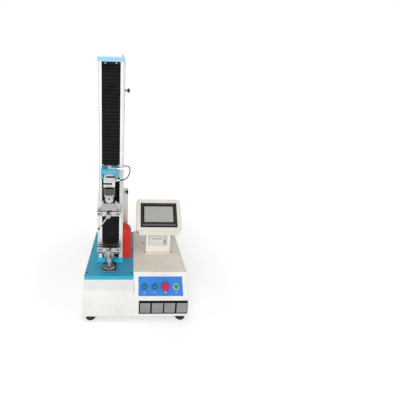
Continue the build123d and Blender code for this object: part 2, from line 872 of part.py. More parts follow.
carriage.part.label = "carriage"
export_step(carriage.part, "parts/carriage.step")

# Crosshead arm: back plate, thick top plate and two tapering cheeks round the load cell
with BuildPart() as crosshead_arm:
    with BuildSketch(side_plane(column_x - arm_width / 2)):
        with BuildLine():
            Polyline(
                (arm_back, crosshead_bottom),
                (arm_back, crosshead_top),
                (arm_front, crosshead_top),
                (arm_front, cheek_bottom),
                (load_axis_y + gland_base, cheek_bottom),
                (arm_back - arm_back_thickness, crosshead_bottom),
                close=True,
            )
        make_face()
    extrude(amount=arm_width)
    with BuildSketch(side_plane(column_x - arm_width / 2 + arm_cheek_thickness)):
        with Locations(((arm_front + arm_back) / 2 - arm_back_thickness, (crosshead_bottom + cell_top) / 2)):
            Rectangle(arm_back - arm_front, cell_top - crosshead_bottom)
    extrude(amount=arm_width - 2 * arm_cheek_thickness, mode=Mode.SUBTRACT)
    with BuildSketch(level(cell_top)):
        with Locations((column_x, load_axis_y)):
            Circle(cell_thread / 2 + run_gap)
    extrude(amount=arm_plate_thickness, mode=Mode.SUBTRACT)
    fillet(crosshead_arm.edges().filter_by(Axis.Z).group_by(Axis.Y)[0], radius=arm_edge)
crosshead_arm.part.label = "crosshead_arm"
export_step(crosshead_arm.part, "parts/crosshead_arm.step")

# S-shaped load cell: two opposed slots and a round relief hole make its bending beam
with BuildPart() as load_cell:
    with BuildSketch(front_plane(load_axis_y - cell_depth / 2)):
        with Locations((column_x, (cell_top + cell_bottom) / 2)):
            RectangleRounded(cell_width, cell_height, sheet)
            Circle(cell_hole / 2, mode=Mode.SUBTRACT)
        with Locations((cell_right - cell_slot_length / 2, cell_top - cell_slot_inset)):
            Rectangle(cell_slot_length, cell_slot, mode=Mode.SUBTRACT)
        with Locations((cell_right - cell_width + cell_slot_length / 2, cell_bottom + cell_slot_inset)):
            Rectangle(cell_slot_length, cell_slot, mode=Mode.SUBTRACT)
    extrude(amount=-cell_depth)
    for thread_z, inward in ((cell_top, -1), (cell_bottom, 1)):
        with BuildSketch(level(thread_z)):
            with Locations((column_x, load_axis_y)):
                Circle(cell_thread / 2 + run_gap)
        extrude(amount=inward * cell_thread_depth, mode=Mode.SUBTRACT)
load_cell.part.label = "load_cell"
export_step(load_cell.part, "parts/load_cell.step")

# Cable support arm: flat strip under the cell's bolt, reaching out past the column
with BuildPart() as support_arm:
    with BuildSketch(level(crosshead_top)):
        with Locations((column_x + (support_arm_right - support_arm_left) / 2, load_axis_y)):
            SlotOverall(support_arm_right + support_arm_left, support_arm_width)
        with Locations((column_x + support_arm_right - support_arm_width / 2, load_axis_y)):
            Circle(support_arm_hole / 2, mode=Mode.SUBTRACT)
        with Locations((column_x, load_axis_y)):
            Circle(cell_bolt_head / 2)
            Circle(cell_thread / 2 + run_gap, mode=Mode.SUBTRACT)
    extrude(amount=support_arm_thickness)
support_arm.part.label = "support_arm"
export_step(support_arm.part, "parts/support_arm.step")

# Load train fasteners: socket bolt down into the load cell, and the upper grip's cross pin
bolt_seat = crosshead_top + support_arm_thickness
with BuildPart() as load_train_fasteners:
    with BuildSketch(level(bolt_seat)):
        with Locations((column_x, load_axis_y)):
            Circle(cell_bolt_head / 2)
    extrude(amount=cell_bolt_head_height)
    with BuildSketch(level(bolt_seat)):
        with Locations((column_x, load_axis_y)):
            Circle(cell_thread / 2)
    extrude(amount=-(bolt_seat - cell_top + cell_thread_depth - fit_gap))
    with BuildSketch(level(bolt_seat + cell_bolt_head_height)):
        with Locations((column_x, load_axis_y)):
            RegularPolygon(cell_bolt_socket / 2, 6)
    extrude(amount=-cell_bolt_socket_depth, mode=Mode.SUBTRACT)
    with BuildSketch(front_plane(load_axis_y - grip_neck_diameter / 2)):
        with Locations((column_x, upper_lip_face - cross_pin_drop)):
            Circle(cross_pin_diameter / 2)
    extrude(amount=-grip_neck_diameter)
load_train_fasteners.part.label = "load_train_fasteners"
export_step(load_train_fasteners.part, "parts/load_train_fasteners.step")

# Cable gland on the right of the load cell: hexagon base and a tapered clamping nut
with BuildPart() as cable_gland:
    with BuildSketch(side_plane(cell_right)):
        with Locations((load_axis_y, gland_z)):
            RegularPolygon(gland_base / 2, 6)
    extrude(amount=gland_base_length)
    with BuildSketch(side_plane(cell_right + gland_base_length)):
        with Locations((load_axis_y, gland_z)):
            Circle(gland_dome / 2)
    extrude(amount=gland_length - gland_base_length, taper=gland_taper)
cable_gland.part.label = "cable_gland"
export_step(cable_gland.part, "parts/cable_gland.step")

# Load cell cable: an open loop from the gland to the carriage, through the column's side slot
cable_loop_x = column_right + cable_loop_reach
cable_entry_z = crosshead_top - cable_entry_drop
cable_points = [
    (gland_end, load_axis_y, gland_z),
    (gland_end + cable_run, load_axis_y, gland_z),
    (cable_loop_x, load_axis_y + cable_loop_front, crosshead_top - cable_loop_low),
    (cable_loop_x, load_axis_y + cable_loop_back, crosshead_top - cable_loop_high),
    (column_right + cable_entry_reach, cable_slot_y, cable_entry_z),
    (column_x + carriage_width / 2, cable_slot_y, cable_entry_z),
]
with BuildPart() as load_cell_cable:
    with BuildLine():
        cable_path = FilletPolyline(*cable_points, radius=cable_bend)
    with BuildSketch(Plane(cable_path @ 0, z_dir=cable_path % 0)):
        Circle(cable_diameter / 2)
    sweep()
load_cell_cable.part.label = "load_cell_cable"
export_step(load_cell_cable.part, "parts/load_cell_cable.step")


def build_grip_body(axis_z, sense, neck_length, shoulder_base, shoulder_crown):
    """Grip frame: two legs round the jaws, a hipped shoulder, and a socketed neck with a lip.

    Heights count from the clamp screw's axis towards the neck, which is up where sense is 1.
    """
    neck_face = shoulder_top + neck_length + grip_lip_height

    def height(offset_z):
        return axis_z + sense * offset_z

    with BuildPart() as grip:
        with BuildSketch(front_plane(grip_front)):
            with Locations((column_x, height((grip_leg_top - grip_block_half) / 2))):
                Rectangle(grip_width, grip_leg_top + grip_block_half)
        extrude(amount=grip_front - grip_back)
        with BuildSketch(level(height(grip_leg_top))):
            with Locations((column_x, (grip_front + grip_back) / 2)):
                Rectangle(shoulder_base, grip_back - grip_front)
        with BuildSketch(level(height(shoulder_top))):
            with Locations((column_x, load_axis_y)):
                Rectangle(shoulder_crown, shoulder_crown_depth)
        loft()
        with BuildSketch(side_plane(column_x - grip_width / 2)):
            with Locations(
                ((throat_front + fixed_jaw_face) / 2, height((grip_throat_top - grip_block_half) / 2))
            ):
                Rectangle(fixed_jaw_face - throat_front, grip_throat_top + grip_block_half)
            with Locations((fixed_jaw_face, height(jaw_tooth_mid))):
                with GridLocations(0, jaw_tooth_pitch, 1, jaw_tooth_count):
                    Rectangle(jaw_tooth, jaw_tooth, rotation=45)
            with Locations((grip_front, height(grip_groove_low + grip_groove_height / 2))):
                Rectangle(2 * grip_groove_depth, grip_groove_height)
        extrude(amount=grip_width, mode=Mode.SUBTRACT)
        with BuildSketch(level(height(shoulder_top))):
            with Locations((column_x, load_axis_y)):
                Circle(grip_neck_diameter / 2)
        extrude(amount=sense * neck_length)
        with BuildSketch(level(height(shoulder_top + neck_length))):
            with Locations((column_x, load_axis_y)):
                Circle(grip_lip_diameter / 2)
        extrude(amount=sense * grip_lip_height)
        with BuildSketch(level(height(neck_face))):
            with Locations((column_x, load_axis_y)):
                Circle(adapter_diameter / 2 + run_gap)
        extrude(amount=-sense * socket_depth, mode=Mode.SUBTRACT)
        with BuildSketch(front_plane(grip_front)):
            with Locations((column_x, height((grip_groove_low - grip_block_half) / 2))):
                with GridLocations(grip_split_spacing, 0, 2, 1):
                    Rectangle(grip_split_width, grip_groove_low + grip_block_half)
        extrude(amount=-grip_split_depth, mode=Mode.SUBTRACT)
        with BuildSketch(front_plane(grip_front)):
            with Locations((column_x, axis_z)):
                Circle(clamp_screw_diameter / 2 + run_gap)
                with GridLocations(guide_pin_spacing, 0, 2, 1):
                    Circle(guide_pin_diameter / 2 + run_gap)
        extrude(amount=-grip_front_leg, mode=Mode.SUBTRACT)
        with BuildSketch(front_plane(load_axis_y - grip_neck_diameter / 2)):
            with Locations((column_x, height(neck_face - cross_pin_drop))):
                Circle(cross_pin_diameter / 2 + run_gap)
        extrude(amount=-grip_neck_diameter, mode=Mode.SUBTRACT)
    return grip.part


def build_jaw(axis_z, sense):
    """Moving jaw: toothed plate across the grip on two guide pins through the front leg."""
    with BuildPart() as jaw:
        with BuildSketch(side_plane(column_x - jaw_width / 2)):
            with Locations(
                ((moving_jaw_face + moving_jaw_back) / 2, axis_z + sense * (jaw_high - jaw_low) / 2)
            ):
                Rectangle(jaw_thickness, jaw_high + jaw_low)
            with Locations((moving_jaw_face, axis_z + sense * jaw_tooth_mid)):
                with GridLocations(0, jaw_tooth_pitch, 1, jaw_tooth_count):
                    Rectangle(jaw_tooth, jaw_tooth, rotation=45, mode=Mode.SUBTRACT)
        extrude(amount=jaw_width)
        with BuildSketch(front_plane(moving_jaw_back)):
            with Locations((column_x, axis_z)):
                with GridLocations(guide_pin_spacing, 0, 2, 1):
                    Circle(guide_pin_diameter / 2)
        extrude(amount=moving_jaw_back - grip_front - guide_pin_short)
    return jaw.part


def bar_axis_plane(axis_z, lean):
    """Plane in the middle of a clamp screw's head, with z along the tommy bar towards its low end."""
    return Plane(
        origin=(column_x, clamp_head_mid, axis_z),
        x_dir=(0, 1, 0),
        z_dir=(sin(radians(lean)), 0, -cos(radians(lean))),
    )


def build_clamp_screw(axis_z, lean):
    """Clamp screw: shank through the front leg and a round head cross-bored for its bar."""
    with BuildPart() as screw:
        with BuildSketch(front_plane(moving_jaw_back - fit_gap)):
            with Locations((column_x, axis_z)):
                Circle(clamp_screw_diameter / 2)
        extrude(amount=moving_jaw_back - fit_gap - clamp_head_back)
        with BuildSketch(front_plane(clamp_head_back)):
            with Locations((column_x, axis_z)):
                Circle(clamp_head_diameter / 2)
        extrude(amount=clamp_head_length)
        chamfer(screw.edges().group_by(Axis.Y)[0], length=clamp_head_chamfer)
        with BuildSketch(bar_axis_plane(axis_z, lean)):
            Circle(bar_diameter / 2 + run_gap)
        extrude(amount=clamp_head_diameter, both=True, mode=Mode.SUBTRACT)
    return screw.part


def build_tommy_bar(axis_z, lean):
    """Sliding bar with ball ends, hanging by its upper ball on the screw's head."""
    upper_ball = -(clamp_head_diameter + bar_ball_diameter) / 2 - fit_gap
    with BuildPart(bar_axis_plane(axis_z, lean)) as bar:
        with Locations((0, 0, upper_ball), (0, 0, bar_reach)):
            Sphere(bar_ball_diameter / 2)
        with Locations((0, 0, upper_ball)):
            Cylinder(
                bar_diameter / 2,
                bar_reach - upper_ball,
                align=(Align.CENTER, Align.CENTER, Align.MIN),
            )
    return bar.part


def build_lock_ring(bottom, ring_height, diameter):
    """Knurled lock ring round a grip adapter."""
    with BuildPart() as ring:
        with BuildSketch(level(bottom)):
            with Locations((column_x, load_axis_y)):
                Circle(diameter / 2)
                Circle(adapter_diameter / 2 + run_gap, mode=Mode.SUBTRACT)
                with PolarLocations(diameter / 2, ring_teeth):
                    Circle(ring_tooth_radius, mode=Mode.SUBTRACT)
        extrude(amount=ring_height)
    return ring.part


# Lower adapter: square plate on the deck with a post up into the grip and a spigot in the deck
with BuildPart() as lower_adapter:
    with BuildSketch(level(deck_top)):
        with Locations((column_x, load_axis_y)):
            RectangleRounded(lower_plate_size, lower_plate_size, sheet)
    extrude(amount=lower_plate_thickness)
    chamfer(lower_adapter.faces().sort_by(Axis.Z)[-1].edges(), length=cap_groove)
    with BuildSketch(level(deck_top)):
        with Locations((column_x, load_axis_y)):
            Circle(adapter_diameter / 2)
    extrude(amount=lower_lip_face + socket_depth - fit_gap - deck_top)
    with BuildSketch(level(deck_bottom)):
        with Locations((column_x, load_axis_y)):
            Circle(cell_thread / 2 - run_gap)
    extrude(amount=deck_thickness)
    with BuildSketch(front_plane(load_axis_y - adapter_diameter / 2)):
        with Locations((column_x, lower_lip_face + cross_pin_drop)):
            Circle(cross_pin_diameter / 2 + run_gap)
    extrude(amount=-adapter_diameter, mode=Mode.SUBTRACT)
lower_adapter.part.label = "lower_adapter"
export_step(lower_adapter.part, "parts/lower_adapter.step")

# Upper adapter: post in the upper grip's socket with a stud up into the load cell
with BuildPart() as upper_adapter:
    with BuildSketch(level(upper_lip_face - socket_depth + fit_gap)):
        with Locations((column_x, load_axis_y)):
            Circle(adapter_diameter / 2)
    extrude(amount=upper_ring_top - upper_lip_face + socket_depth - fit_gap)
    with BuildSketch(level(upper_ring_top)):
        with Locations((column_x, load_axis_y)):
            Circle(cell_thread / 2)
    extrude(amount=cell_bottom - upper_ring_top + cell_thread_depth - fit_gap)
    with BuildSketch(front_plane(load_axis_y - adapter_diameter / 2)):
        with Locations((column_x, upper_lip_face - cross_pin_drop)):
            Circle(cross_pin_diameter / 2 + run_gap)
    extrude(amount=-adapter_diameter, mode=Mode.SUBTRACT)
upper_adapter.part.label = "upper_adapter"
export_step(upper_adapter.part, "parts/upper_adapter.step")

# Lock rings that tighten each grip on its adapter
upper_lock_ring = build_lock_ring(upper_ring_bottom, upper_ring_height, upper_ring_diameter)
upper_lock_ring.label = "upper_lock_ring"
export_step(upper_lock_ring, "parts/upper_lock_ring.step")
lower_lock_ring = build_lock_ring(lower_ring_bottom, lower_ring_height, lower_ring_diameter)
lower_lock_ring.label = "lower_lock_ring"
export_step(lower_lock_ring, "parts/lower_lock_ring.step")

# Upper and lower grips, mirrored about the test space; the lower shoulder is narrower
grips = {
    "upper": (upper_grip_z, 1, upper_neck_length, upper_shoulder_base, upper_shoulder_crown, upper_bar_lean),
    "lower": (lower_grip_z, -1, lower_neck_length, lower_shoulder_base, lower_shoulder_crown, lower_bar_lean),
}
for grip_side, (grip_z, grip_sense, neck_length, shoulder_base, shoulder_crown, bar_lean) in grips.items():
    grip_pieces = {
        f"{grip_side}_grip_body": build_grip_body(
            grip_z, grip_sense, neck_length, shoulder_base, shoulder_crown
        ),
        f"{grip_side}_jaw": build_jaw(grip_z, grip_sense),
        f"{grip_side}_clamp_screw": build_clamp_screw(grip_z, bar_lean),
        f"{grip_side}_tommy_bar": build_tommy_bar(grip_z, bar_lean),
    }
    for piece_name, piece in grip_pieces.items():
        piece.label = piece_name
        export_step(piece, f"parts/{piece_name}.step")

# Limit rod: slim rod from its guide up through the cap, with a trip arm between the switches
with BuildPart() as limit_rod:
    with BuildSketch(level(rod_foot)):
        with Locations((rod_x, rod_y)):
            Circle(rod_diameter / 2)
    extrude(amount=rod_top - rod_foot)
    fillet(limit_rod.faces().sort_by(Axis.Z)[-1].edges(), radius=cap_groove)
    with BuildSketch(side_plane(rod_x)):
        with Locations((rod_y, trip_z)):
            Rectangle(trip_size, trip_size)
    extrude(amount=trip_reach)
limit_rod.part.label = "limit_rod"
export_step(limit_rod.part, "parts/limit_rod.step")

# Limit switches above and below the trip arm, on the outside of the column
with BuildPart() as limit_switches:
    with BuildSketch(side_plane(column_right)):
        with Locations((rod_y, trip_z)):
            with GridLocations(0, trip_size + 2 * trip_play + switch_height, 1, 2):
                Rectangle(switch_width, switch_height)
    extrude(amount=switch_reach)
limit_switches.part.label = "limit_switches"
export_step(limit_switches.part, "parts/limit_switches.step")


def build_limit_collar(mid_z):
    """Collar on the limit rod, bored for its clamping knob from the right."""
    with BuildPart() as collar:
        with BuildSketch(level(mid_z - collar_height / 2)):
            with Locations(((collar_left + collar_right) / 2, rod_y)):
                Rectangle(collar_right - collar_left, collar_depth)
            with Locations((rod_x, rod_y)):
                Circle(rod_diameter / 2 + run_gap, mode=Mode.SUBTRACT)
        extrude(amount=collar_height)
        with BuildSketch(side_plane(rod_x)):
            with Locations((rod_y, mid_z)):
                Circle(rod_diameter / 2 + run_gap)
        extrude(amount=collar_right - rod_x, mode=Mode.SUBTRACT)
    return collar.part


def build_limit_knob(mid_z):
    """Clamping knob of a limit collar: threaded stem, light spacer and round hand knob."""
    with BuildPart() as knob:
        with BuildSketch(side_plane(rod_x + rod_diameter / 2 + fit_gap)):
            with Locations((rod_y, mid_z)):
                Circle(rod_diameter / 2)
        extrude(amount=knob_head - rod_x - rod_diameter / 2 - fit_gap)
        with BuildSketch(side_plane(knob_start)):
            with Locations((rod_y, mid_z)):
                Circle(knob_spacer_diameter / 2)
        extrude(amount=knob_spacer_length)
        with BuildSketch(side_plane(knob_head)):
            with Locations((rod_y, mid_z)):
                Circle(knob_diameter / 2)
        extrude(amount=knob_length)
        fillet(knob.faces().sort_by(Axis.X)[-1].edges(), radius=knob_fillet)
    return knob.part


# Collars and knobs that set the upper and lower ends of the crosshead's travel
for collar_side, collar_mid_z in (("upper", upper_collar_z), ("lower", lower_collar_z)):
    limit_pieces = {
        f"{collar_side}_limit_collar": build_limit_collar(collar_mid_z),
        f"{collar_side}_limit_knob": build_limit_knob(collar_mid_z),
    }
    for piece_name, piece in limit_pieces.items():
        piece.label = piece_name
        export_step(piece, f"parts/{piece_name}.step")

# Guard over the limit switches: sheet shell with a rounded shoulder, open to the column
# and notched over the column's flange
with BuildPart() as limit_guard:
    with BuildSketch(front_plane(guard_front)) as guard_outline:
        with Locations((column_right + guard_reach / 2, deck_top + guard_height / 2)):
            Rectangle(guard_reach, guard_height)
        fillet(guard_outline.vertices().group_by(Axis.Y)[-1].sort_by(Axis.X)[-1], radius=guard_radius)
    extrude(amount=-guard_depth)
    offset(
        amount=-sheet,
        openings=[limit_guard.faces().sort_by(Axis.X)[0], limit_guard.faces().sort_by(Axis.Z)[0]],
    )
    with BuildSketch(front_plane(guard_front)):
        with Locations((column_x, deck_top)):
            Rectangle(flange_width + 2 * fit_gap, 2 * (flange_thickness + fit_gap))
    extrude(amount=-guard_depth, mode=Mode.SUBTRACT)
limit_guard.part.label = "limit_guard"
export_step(limit_guard.part, "parts/limit_guard.step")

# Control panel: plate on the sloped front, bored for four push buttons
button_places = [(x, button_row) for x in (up_button_x, down_button_x, stop_button_x, power_button_x)]
with BuildPart() as control_panel:
    with BuildSketch(panel_plane):
        with Locations((panel_x, panel_low + panel_height / 2)):
            RectangleRounded(panel_width, panel_height, corner_radius)
        with Locations(*button_places):
            Circle(button_hole / 2, mode=Mode.SUBTRACT)
    extrude(amount=panel_thickness)
control_panel.part.label = "control_panel"
export_step(control_panel.part, "parts/control_panel.step")

# Button housings: bezel ring and neck through the panel with a contact block behind it
with BuildPart() as button_housings:
    with BuildSketch(panel_plane.offset(contact_top)):
        with Locations(*button_places):
            Circle(button_neck / 2)
    extrude(amount=button_neck_depth)
    with BuildSketch(panel_plane.offset(panel_thickness)):
        with Locations(*button_places):
            Circle(bezel_diameter / 2)
    extrude(amount=bezel_height)
    with BuildSketch(panel_plane.offset(contact_top)):
        with Locations(*button_places):
            Circle(button_cap / 2 + fit_gap)
    extrude(amount=button_neck_depth + bezel_height, mode=Mode.SUBTRACT)
    with BuildSketch(panel_plane.offset(contact_top)):
        with Locations(*button_places):
            Rectangle(contact_block, contact_block)
            Circle(plunger_diameter / 2 + run_gap, mode=Mode.SUBTRACT)
    extrude(amount=-contact_depth)
button_housings.part.label = "button_housings"
export_step(button_housings.part, "parts/button_housings.step")


def build_button(button_x, mushroom):
    """Push button: cap in its bezel, plunger into the contact block, and a mushroom head if asked."""
    with BuildPart() as button:
        with BuildSketch(panel_plane.offset(button_top - button_cap_height)):
            with Locations((button_x, button_row)):
                Circle(button_cap / 2)
        extrude(amount=button_cap_height)
        with BuildSketch(panel_plane.offset(button_top - button_cap_height)):
            with Locations((button_x, button_row)):
                Circle(plunger_diameter / 2)
        extrude(amount=-plunger_length)
        if mushroom:
            with BuildSketch(panel_plane.offset(bezel_top + mushroom_clear)):
                with Locations((button_x, button_row)):
                    Circle(mushroom_diameter / 2)
            extrude(amount=mushroom_height)
            with BuildSketch(panel_plane.offset(button_top)):
                with Locations((button_x, button_row)):
                    Circle(button_cap / 2)
            extrude(amount=bezel_top + mushroom_clear - button_top)
        outward = Axis(panel_plane.origin, panel_plane.z_dir)
        edge = mushroom_fillet if mushroom else cap_groove
        fillet(button.faces().sort_by(outward)[-1].edges(), radius=edge)
    return button.part


# Push buttons from left to right: up, down, stop with a mushroom head, and power
button_kinds = {
    "up_button": (up_button_x, False),
    "down_button": (down_button_x, False),
    "stop_button": (stop_button_x, True),
    "power_button": (power_button_x, False),
}
for button_name, (button_place, has_mushroom) in button_kinds.items():
    push_button = build_button(button_place, has_mushroom)
    push_button.label = button_name
    export_step(push_button, f"parts/{button_name}.step")

# Motor controller: circuit board on four posts from the pan, with the drive unit on top
board_y = (base_front + base_back) / 2
board_z = pan_top + board_standoff
drive_fin_pitch = drive_width / drive_fin_count
with BuildPart() as motor_controller:
    with BuildSketch(level(board_z)):
        with Locations((console_x, board_y)):
            Rectangle(board_width, board_depth)
    extrude(amount=board_thickness)
    with BuildSketch(level(pan_top)):
        with Locations((console_x, board_y)):
            with GridLocations(board_width - board_standoff, board_depth - board_standoff, 2, 2):
                Circle(board_standoff / 2)
    extrude(amount=board_standoff)
    with BuildSketch(level(board_z + board_thickness)):
        with Locations((console_x, board_y)):
            Rectangle(drive_width, drive_depth)
            with GridLocations(drive_fin_pitch, 0, drive_fin_count, 1):
                Rectangle(drive_fin_pitch / 2, drive_depth, mode=Mode.SUBTRACT)
    extrude(amount=drive_height)
    with BuildSketch(level(board_z + board_thickness)):
        with Locations((console_x, board_y)):
            Rectangle(drive_width, drive_depth)
    extrude(amount=drive_height / 2)
motor_controller.part.label = "motor_controller"
export_step(motor_controller.part, "parts/motor_controller.step")

# Power inlet: recessed mains socket in the back wall, with its flange behind the sheet
with BuildPart() as power_inlet:
    with BuildSketch(front_plane(base_back)):
        with Locations((inlet_x, inlet_z)):
            Rectangle(inlet_width, inlet_height)
    extrude(amount=inlet_depth)
    with BuildSketch(front_plane(base_back - sheet)):
        with Locations((inlet_x, inlet_z)):
            Rectangle(inlet_width + 2 * inlet_flange, inlet_height + 2 * inlet_flange)
    extrude(amount=sheet)
    with BuildSketch(front_plane(base_back)):
        with Locations((inlet_x, inlet_z)):
            Rectangle(inlet_width / 2, inlet_height - 2 * inlet_flange)
    extrude(amount=inlet_depth - inlet_flange, mode=Mode.SUBTRACT)
power_inlet.part.label = "power_inlet"
export_step(power_inlet.part, "parts/power_inlet.step")

# Console pedestal: sheet box with a foot flange, cut on the slant that carries the display
with BuildPart() as display_pedestal:
    with BuildSketch(level(control_top)):
        with Locations((console_x, (pedestal_front + pedestal_back) / 2)):
            RectangleRounded(pedestal_width, pedestal_depth, corner_radius)
    extrude(amount=display_low_z + display_height - control_top)
    with BuildSketch(level(control_top)):
        with Locations((console_x, (pedestal_front + pedestal_back) / 2)):
            RectangleRounded(
                pedestal_width + 2 * pedestal_foot,
                pedestal_depth + 2 * pedestal_foot,
                corner_radius,
            )
    extrude(amount=pedestal_foot_thickness)
    with BuildSketch(level(control_top)):
        with Locations((console_x, (pedestal_front + pedestal_back) / 2)):
            Rectangle(pedestal_width - 2 * sheet, pedestal_depth - 2 * sheet)
    extrude(amount=display_low_z + display_height - control_top, mode=Mode.SUBTRACT)
    with BuildSketch(display_plane):
        with Locations((0, display_height)):
            Rectangle(display_width, 2 * display_height)
    extrude(amount=-display_thickness, mode=Mode.SUBTRACT)
    with BuildSketch(display_plane):
        with Locations((0, display_height)):
            Rectangle(display_width, 4 * display_height)
    extrude(amount=display_height, mode=Mode.SUBTRACT)
    with BuildSketch(front_plane(pedestal_front)):
        with Locations((well_x, printer_z)):
            Rectangle(
                printer_well_width + 2 * sheet + 2 * fit_gap,
                printer_well_height + 2 * sheet + 2 * fit_gap,
            )
    extrude(amount=-sheet, mode=Mode.SUBTRACT)
display_pedestal.part.label = "display_pedestal"
export_step(display_pedestal.part, "parts/display_pedestal.step")

# Display housing: hollow rounded box with a recess for the display's frame, a cable hole behind
# and an upright lip along the lower edge, hollow too
display_lip_width = display_width - 2 * display_corner
display_lip_front = display_low_y + display_edge * cos(radians(display_tilt))
display_lip_top = display_low_z - display_edge * sin(radians(display_tilt))
display_lip_back = pedestal_front - fit_gap
display_lip_corners = [
    (display_lip_front, display_lip_top),
    (display_lip_front, display_lip_top - display_lip),
    (display_lip_back, display_low_z - (display_lip_back - display_low_y) * tan(radians(display_tilt))),
]
with BuildPart() as display_housing:
    with BuildSketch(display_plane):
        with Locations((0, display_height / 2)):
            RectangleRounded(display_width, display_height, display_corner)
    extrude(amount=-display_thickness)
    display_outward = Axis(display_plane.origin, display_plane.z_dir)
    fillet(display_housing.faces().sort_by(display_outward)[-1].edges(), radius=display_edge)
    with BuildSketch(display_plane):
        with Locations((0, display_height / 2)):
            RectangleRounded(frame_width + 2 * fit_gap, frame_height + 2 * fit_gap, frame_corner)
    extrude(amount=-frame_recess, mode=Mode.SUBTRACT)
    with BuildSketch(display_plane.offset(-frame_recess - sheet)):
        with Locations((0, display_height / 2)):
            RectangleRounded(
                display_width - 2 * sheet,
                display_height - 2 * sheet,
                display_corner - sheet,
            )
    extrude(amount=frame_recess + 2 * sheet - display_thickness, mode=Mode.SUBTRACT)
    with BuildSketch(display_plane.offset(-display_thickness)):
        with Locations((0, pedestal_depth / 2)):
            Circle(display_cable_hole / 2)
    extrude(amount=sheet, mode=Mode.SUBTRACT)
    with BuildSketch(side_plane(console_x - display_lip_width / 2)):
        with BuildLine():
            Polyline(*display_lip_corners, close=True)
        make_face()
    extrude(amount=display_lip_width)
    with BuildSketch(side_plane(console_x - display_lip_width / 2 + sheet)):
        with BuildLine():
            Polyline(*display_lip_corners, close=True)
        make_face()
        offset(amount=-sheet)
    extrude(amount=display_lip_width - 2 * sheet, mode=Mode.SUBTRACT)
    with BuildSketch(display_plane.offset(-frame_recess - 3 * sheet)):
        Rectangle(display_lip_width - 2 * sheet, 4 * sheet)
    extrude(amount=-display_thickness / 2, mode=Mode.SUBTRACT)
display_housing.part.label = "display_housing"
export_step(display_housing.part, "parts/display_housing.step")

# Display frame: black bezel plate with a bevelled outer edge and a recess for the screen
frame_mid = display_height / 2
with BuildPart() as display_frame:
    with BuildSketch(display_plane.offset(-frame_recess)):
        with Locations((0, frame_mid)):
            RectangleRounded(frame_width, frame_height, frame_corner)
    extrude(amount=frame_recess + frame_proud)
    chamfer(display_frame.faces().sort_by(display_outward)[-1].edges(), length=cap_groove)
    with BuildSketch(display_plane.offset(frame_proud)):
        with Locations((0, frame_mid + screen_rise)):
            Rectangle(screen_width + 2 * fit_gap, screen_height + 2 * fit_gap)
    extrude(amount=-frame_recess, mode=Mode.SUBTRACT)
display_frame.part.label = "display_frame"
export_step(display_frame.part, "parts/display_frame.step")

# Touch screen set a little below the frame's face
with BuildPart() as touch_screen:
    with BuildSketch(display_plane.offset(frame_proud - frame_recess)):
        with Locations((0, frame_mid + screen_rise)):
            Rectangle(screen_width, screen_height)
    extrude(amount=frame_recess - screen_recess)
touch_screen.part.label = "touch_screen"
export_step(touch_screen.part, "parts/touch_screen.step")

# Printer frame: panel on the pedestal with a paper well, a spindle across it and two hinge lugs
with BuildPart() as printer_frame:
    with BuildSketch(front_plane(pedestal_front)):
        with Locations((console_x, printer_z)):
            RectangleRounded(printer_width, printer_height, corner_radius)
    extrude(amount=printer_proud)
    with BuildSketch(front_plane(pedestal_front)):
        with Locations((well_x, printer_z)):
            Rectangle(printer_well_width + 2 * sheet, printer_well_height + 2 * sheet)
    extrude(amount=-printer_well_depth)
    with BuildSketch(front_plane(printer_face)):
        with Locations((well_x, printer_z)):
            Rectangle(printer_well_width, printer_well_height)
    extrude(amount=-(printer_proud + printer_well_depth - sheet), mode=Mode.SUBTRACT)
    with BuildSketch(side_plane(well_x - printer_well_width / 2)):
        with Locations((pedestal_front + printer_well_depth / 2, printer_z)):
            Circle(paper_core / 2)
    extrude(amount=printer_well_width)
    with BuildSketch(front_plane(printer_face)):
        with Locations((well_x, hinge_z)):
            with GridLocations(door_width - hinge_lug, 0, 2, 1):
                Rectangle(hinge_lug, hinge_barrel_diameter)
    extrude(amount=printer_face - hinge_y)
    for lug_x in (well_x - door_width / 2, well_x + door_width / 2 - hinge_lug):
        with BuildSketch(side_plane(lug_x)):
            with Locations((hinge_y, hinge_z)):
                Circle(hinge_barrel_diameter / 2)
        extrude(amount=hinge_lug)
    with BuildSketch(side_plane(well_x - door_width / 2)):
        with Locations((hinge_y, hinge_z)):
            Circle(hinge_pin_diameter / 2 + run_gap)
    extrude(amount=door_width, mode=Mode.SUBTRACT)
printer_frame.part.label = "printer_frame"
export_step(printer_frame.part, "parts/printer_frame.step")

# Printer door: flat lid over the well on a barrel and pin between the printer's hinge lugs
lug_room = 2 * hinge_lug + 2 * fit_gap
with BuildPart() as printer_door:
    with BuildSketch(front_plane(door_back)):
        with Locations((well_x, printer_z + hinge_barrel_diameter / 4)):
            Rectangle(door_width, door_height - hinge_barrel_diameter / 2)
        with Locations((well_x, hinge_z)):
            with GridLocations(door_width - hinge_lug, 0, 2, 1):
                Rectangle(hinge_lug + 2 * fit_gap, hinge_barrel_diameter + 2 * fit_gap, mode=Mode.SUBTRACT)
    extrude(amount=door_thickness)
    chamfer(printer_door.faces().sort_by(Axis.Y)[0].edges().sort_by(Axis.Z)[-1], length=cap_groove)
    with BuildSketch(side_plane(well_x - (door_width - lug_room) / 2)):
        with Locations((hinge_y, hinge_z)):
            Circle(hinge_barrel_diameter / 2)
    extrude(amount=door_width - lug_room)
    with BuildSketch(side_plane(well_x - door_width / 2)):
        with Locations((hinge_y, hinge_z)):
            Circle(hinge_pin_diameter / 2)
    extrude(amount=door_width)
printer_door.part.label = "printer_door"
export_step(printer_door.part, "parts/printer_door.step")

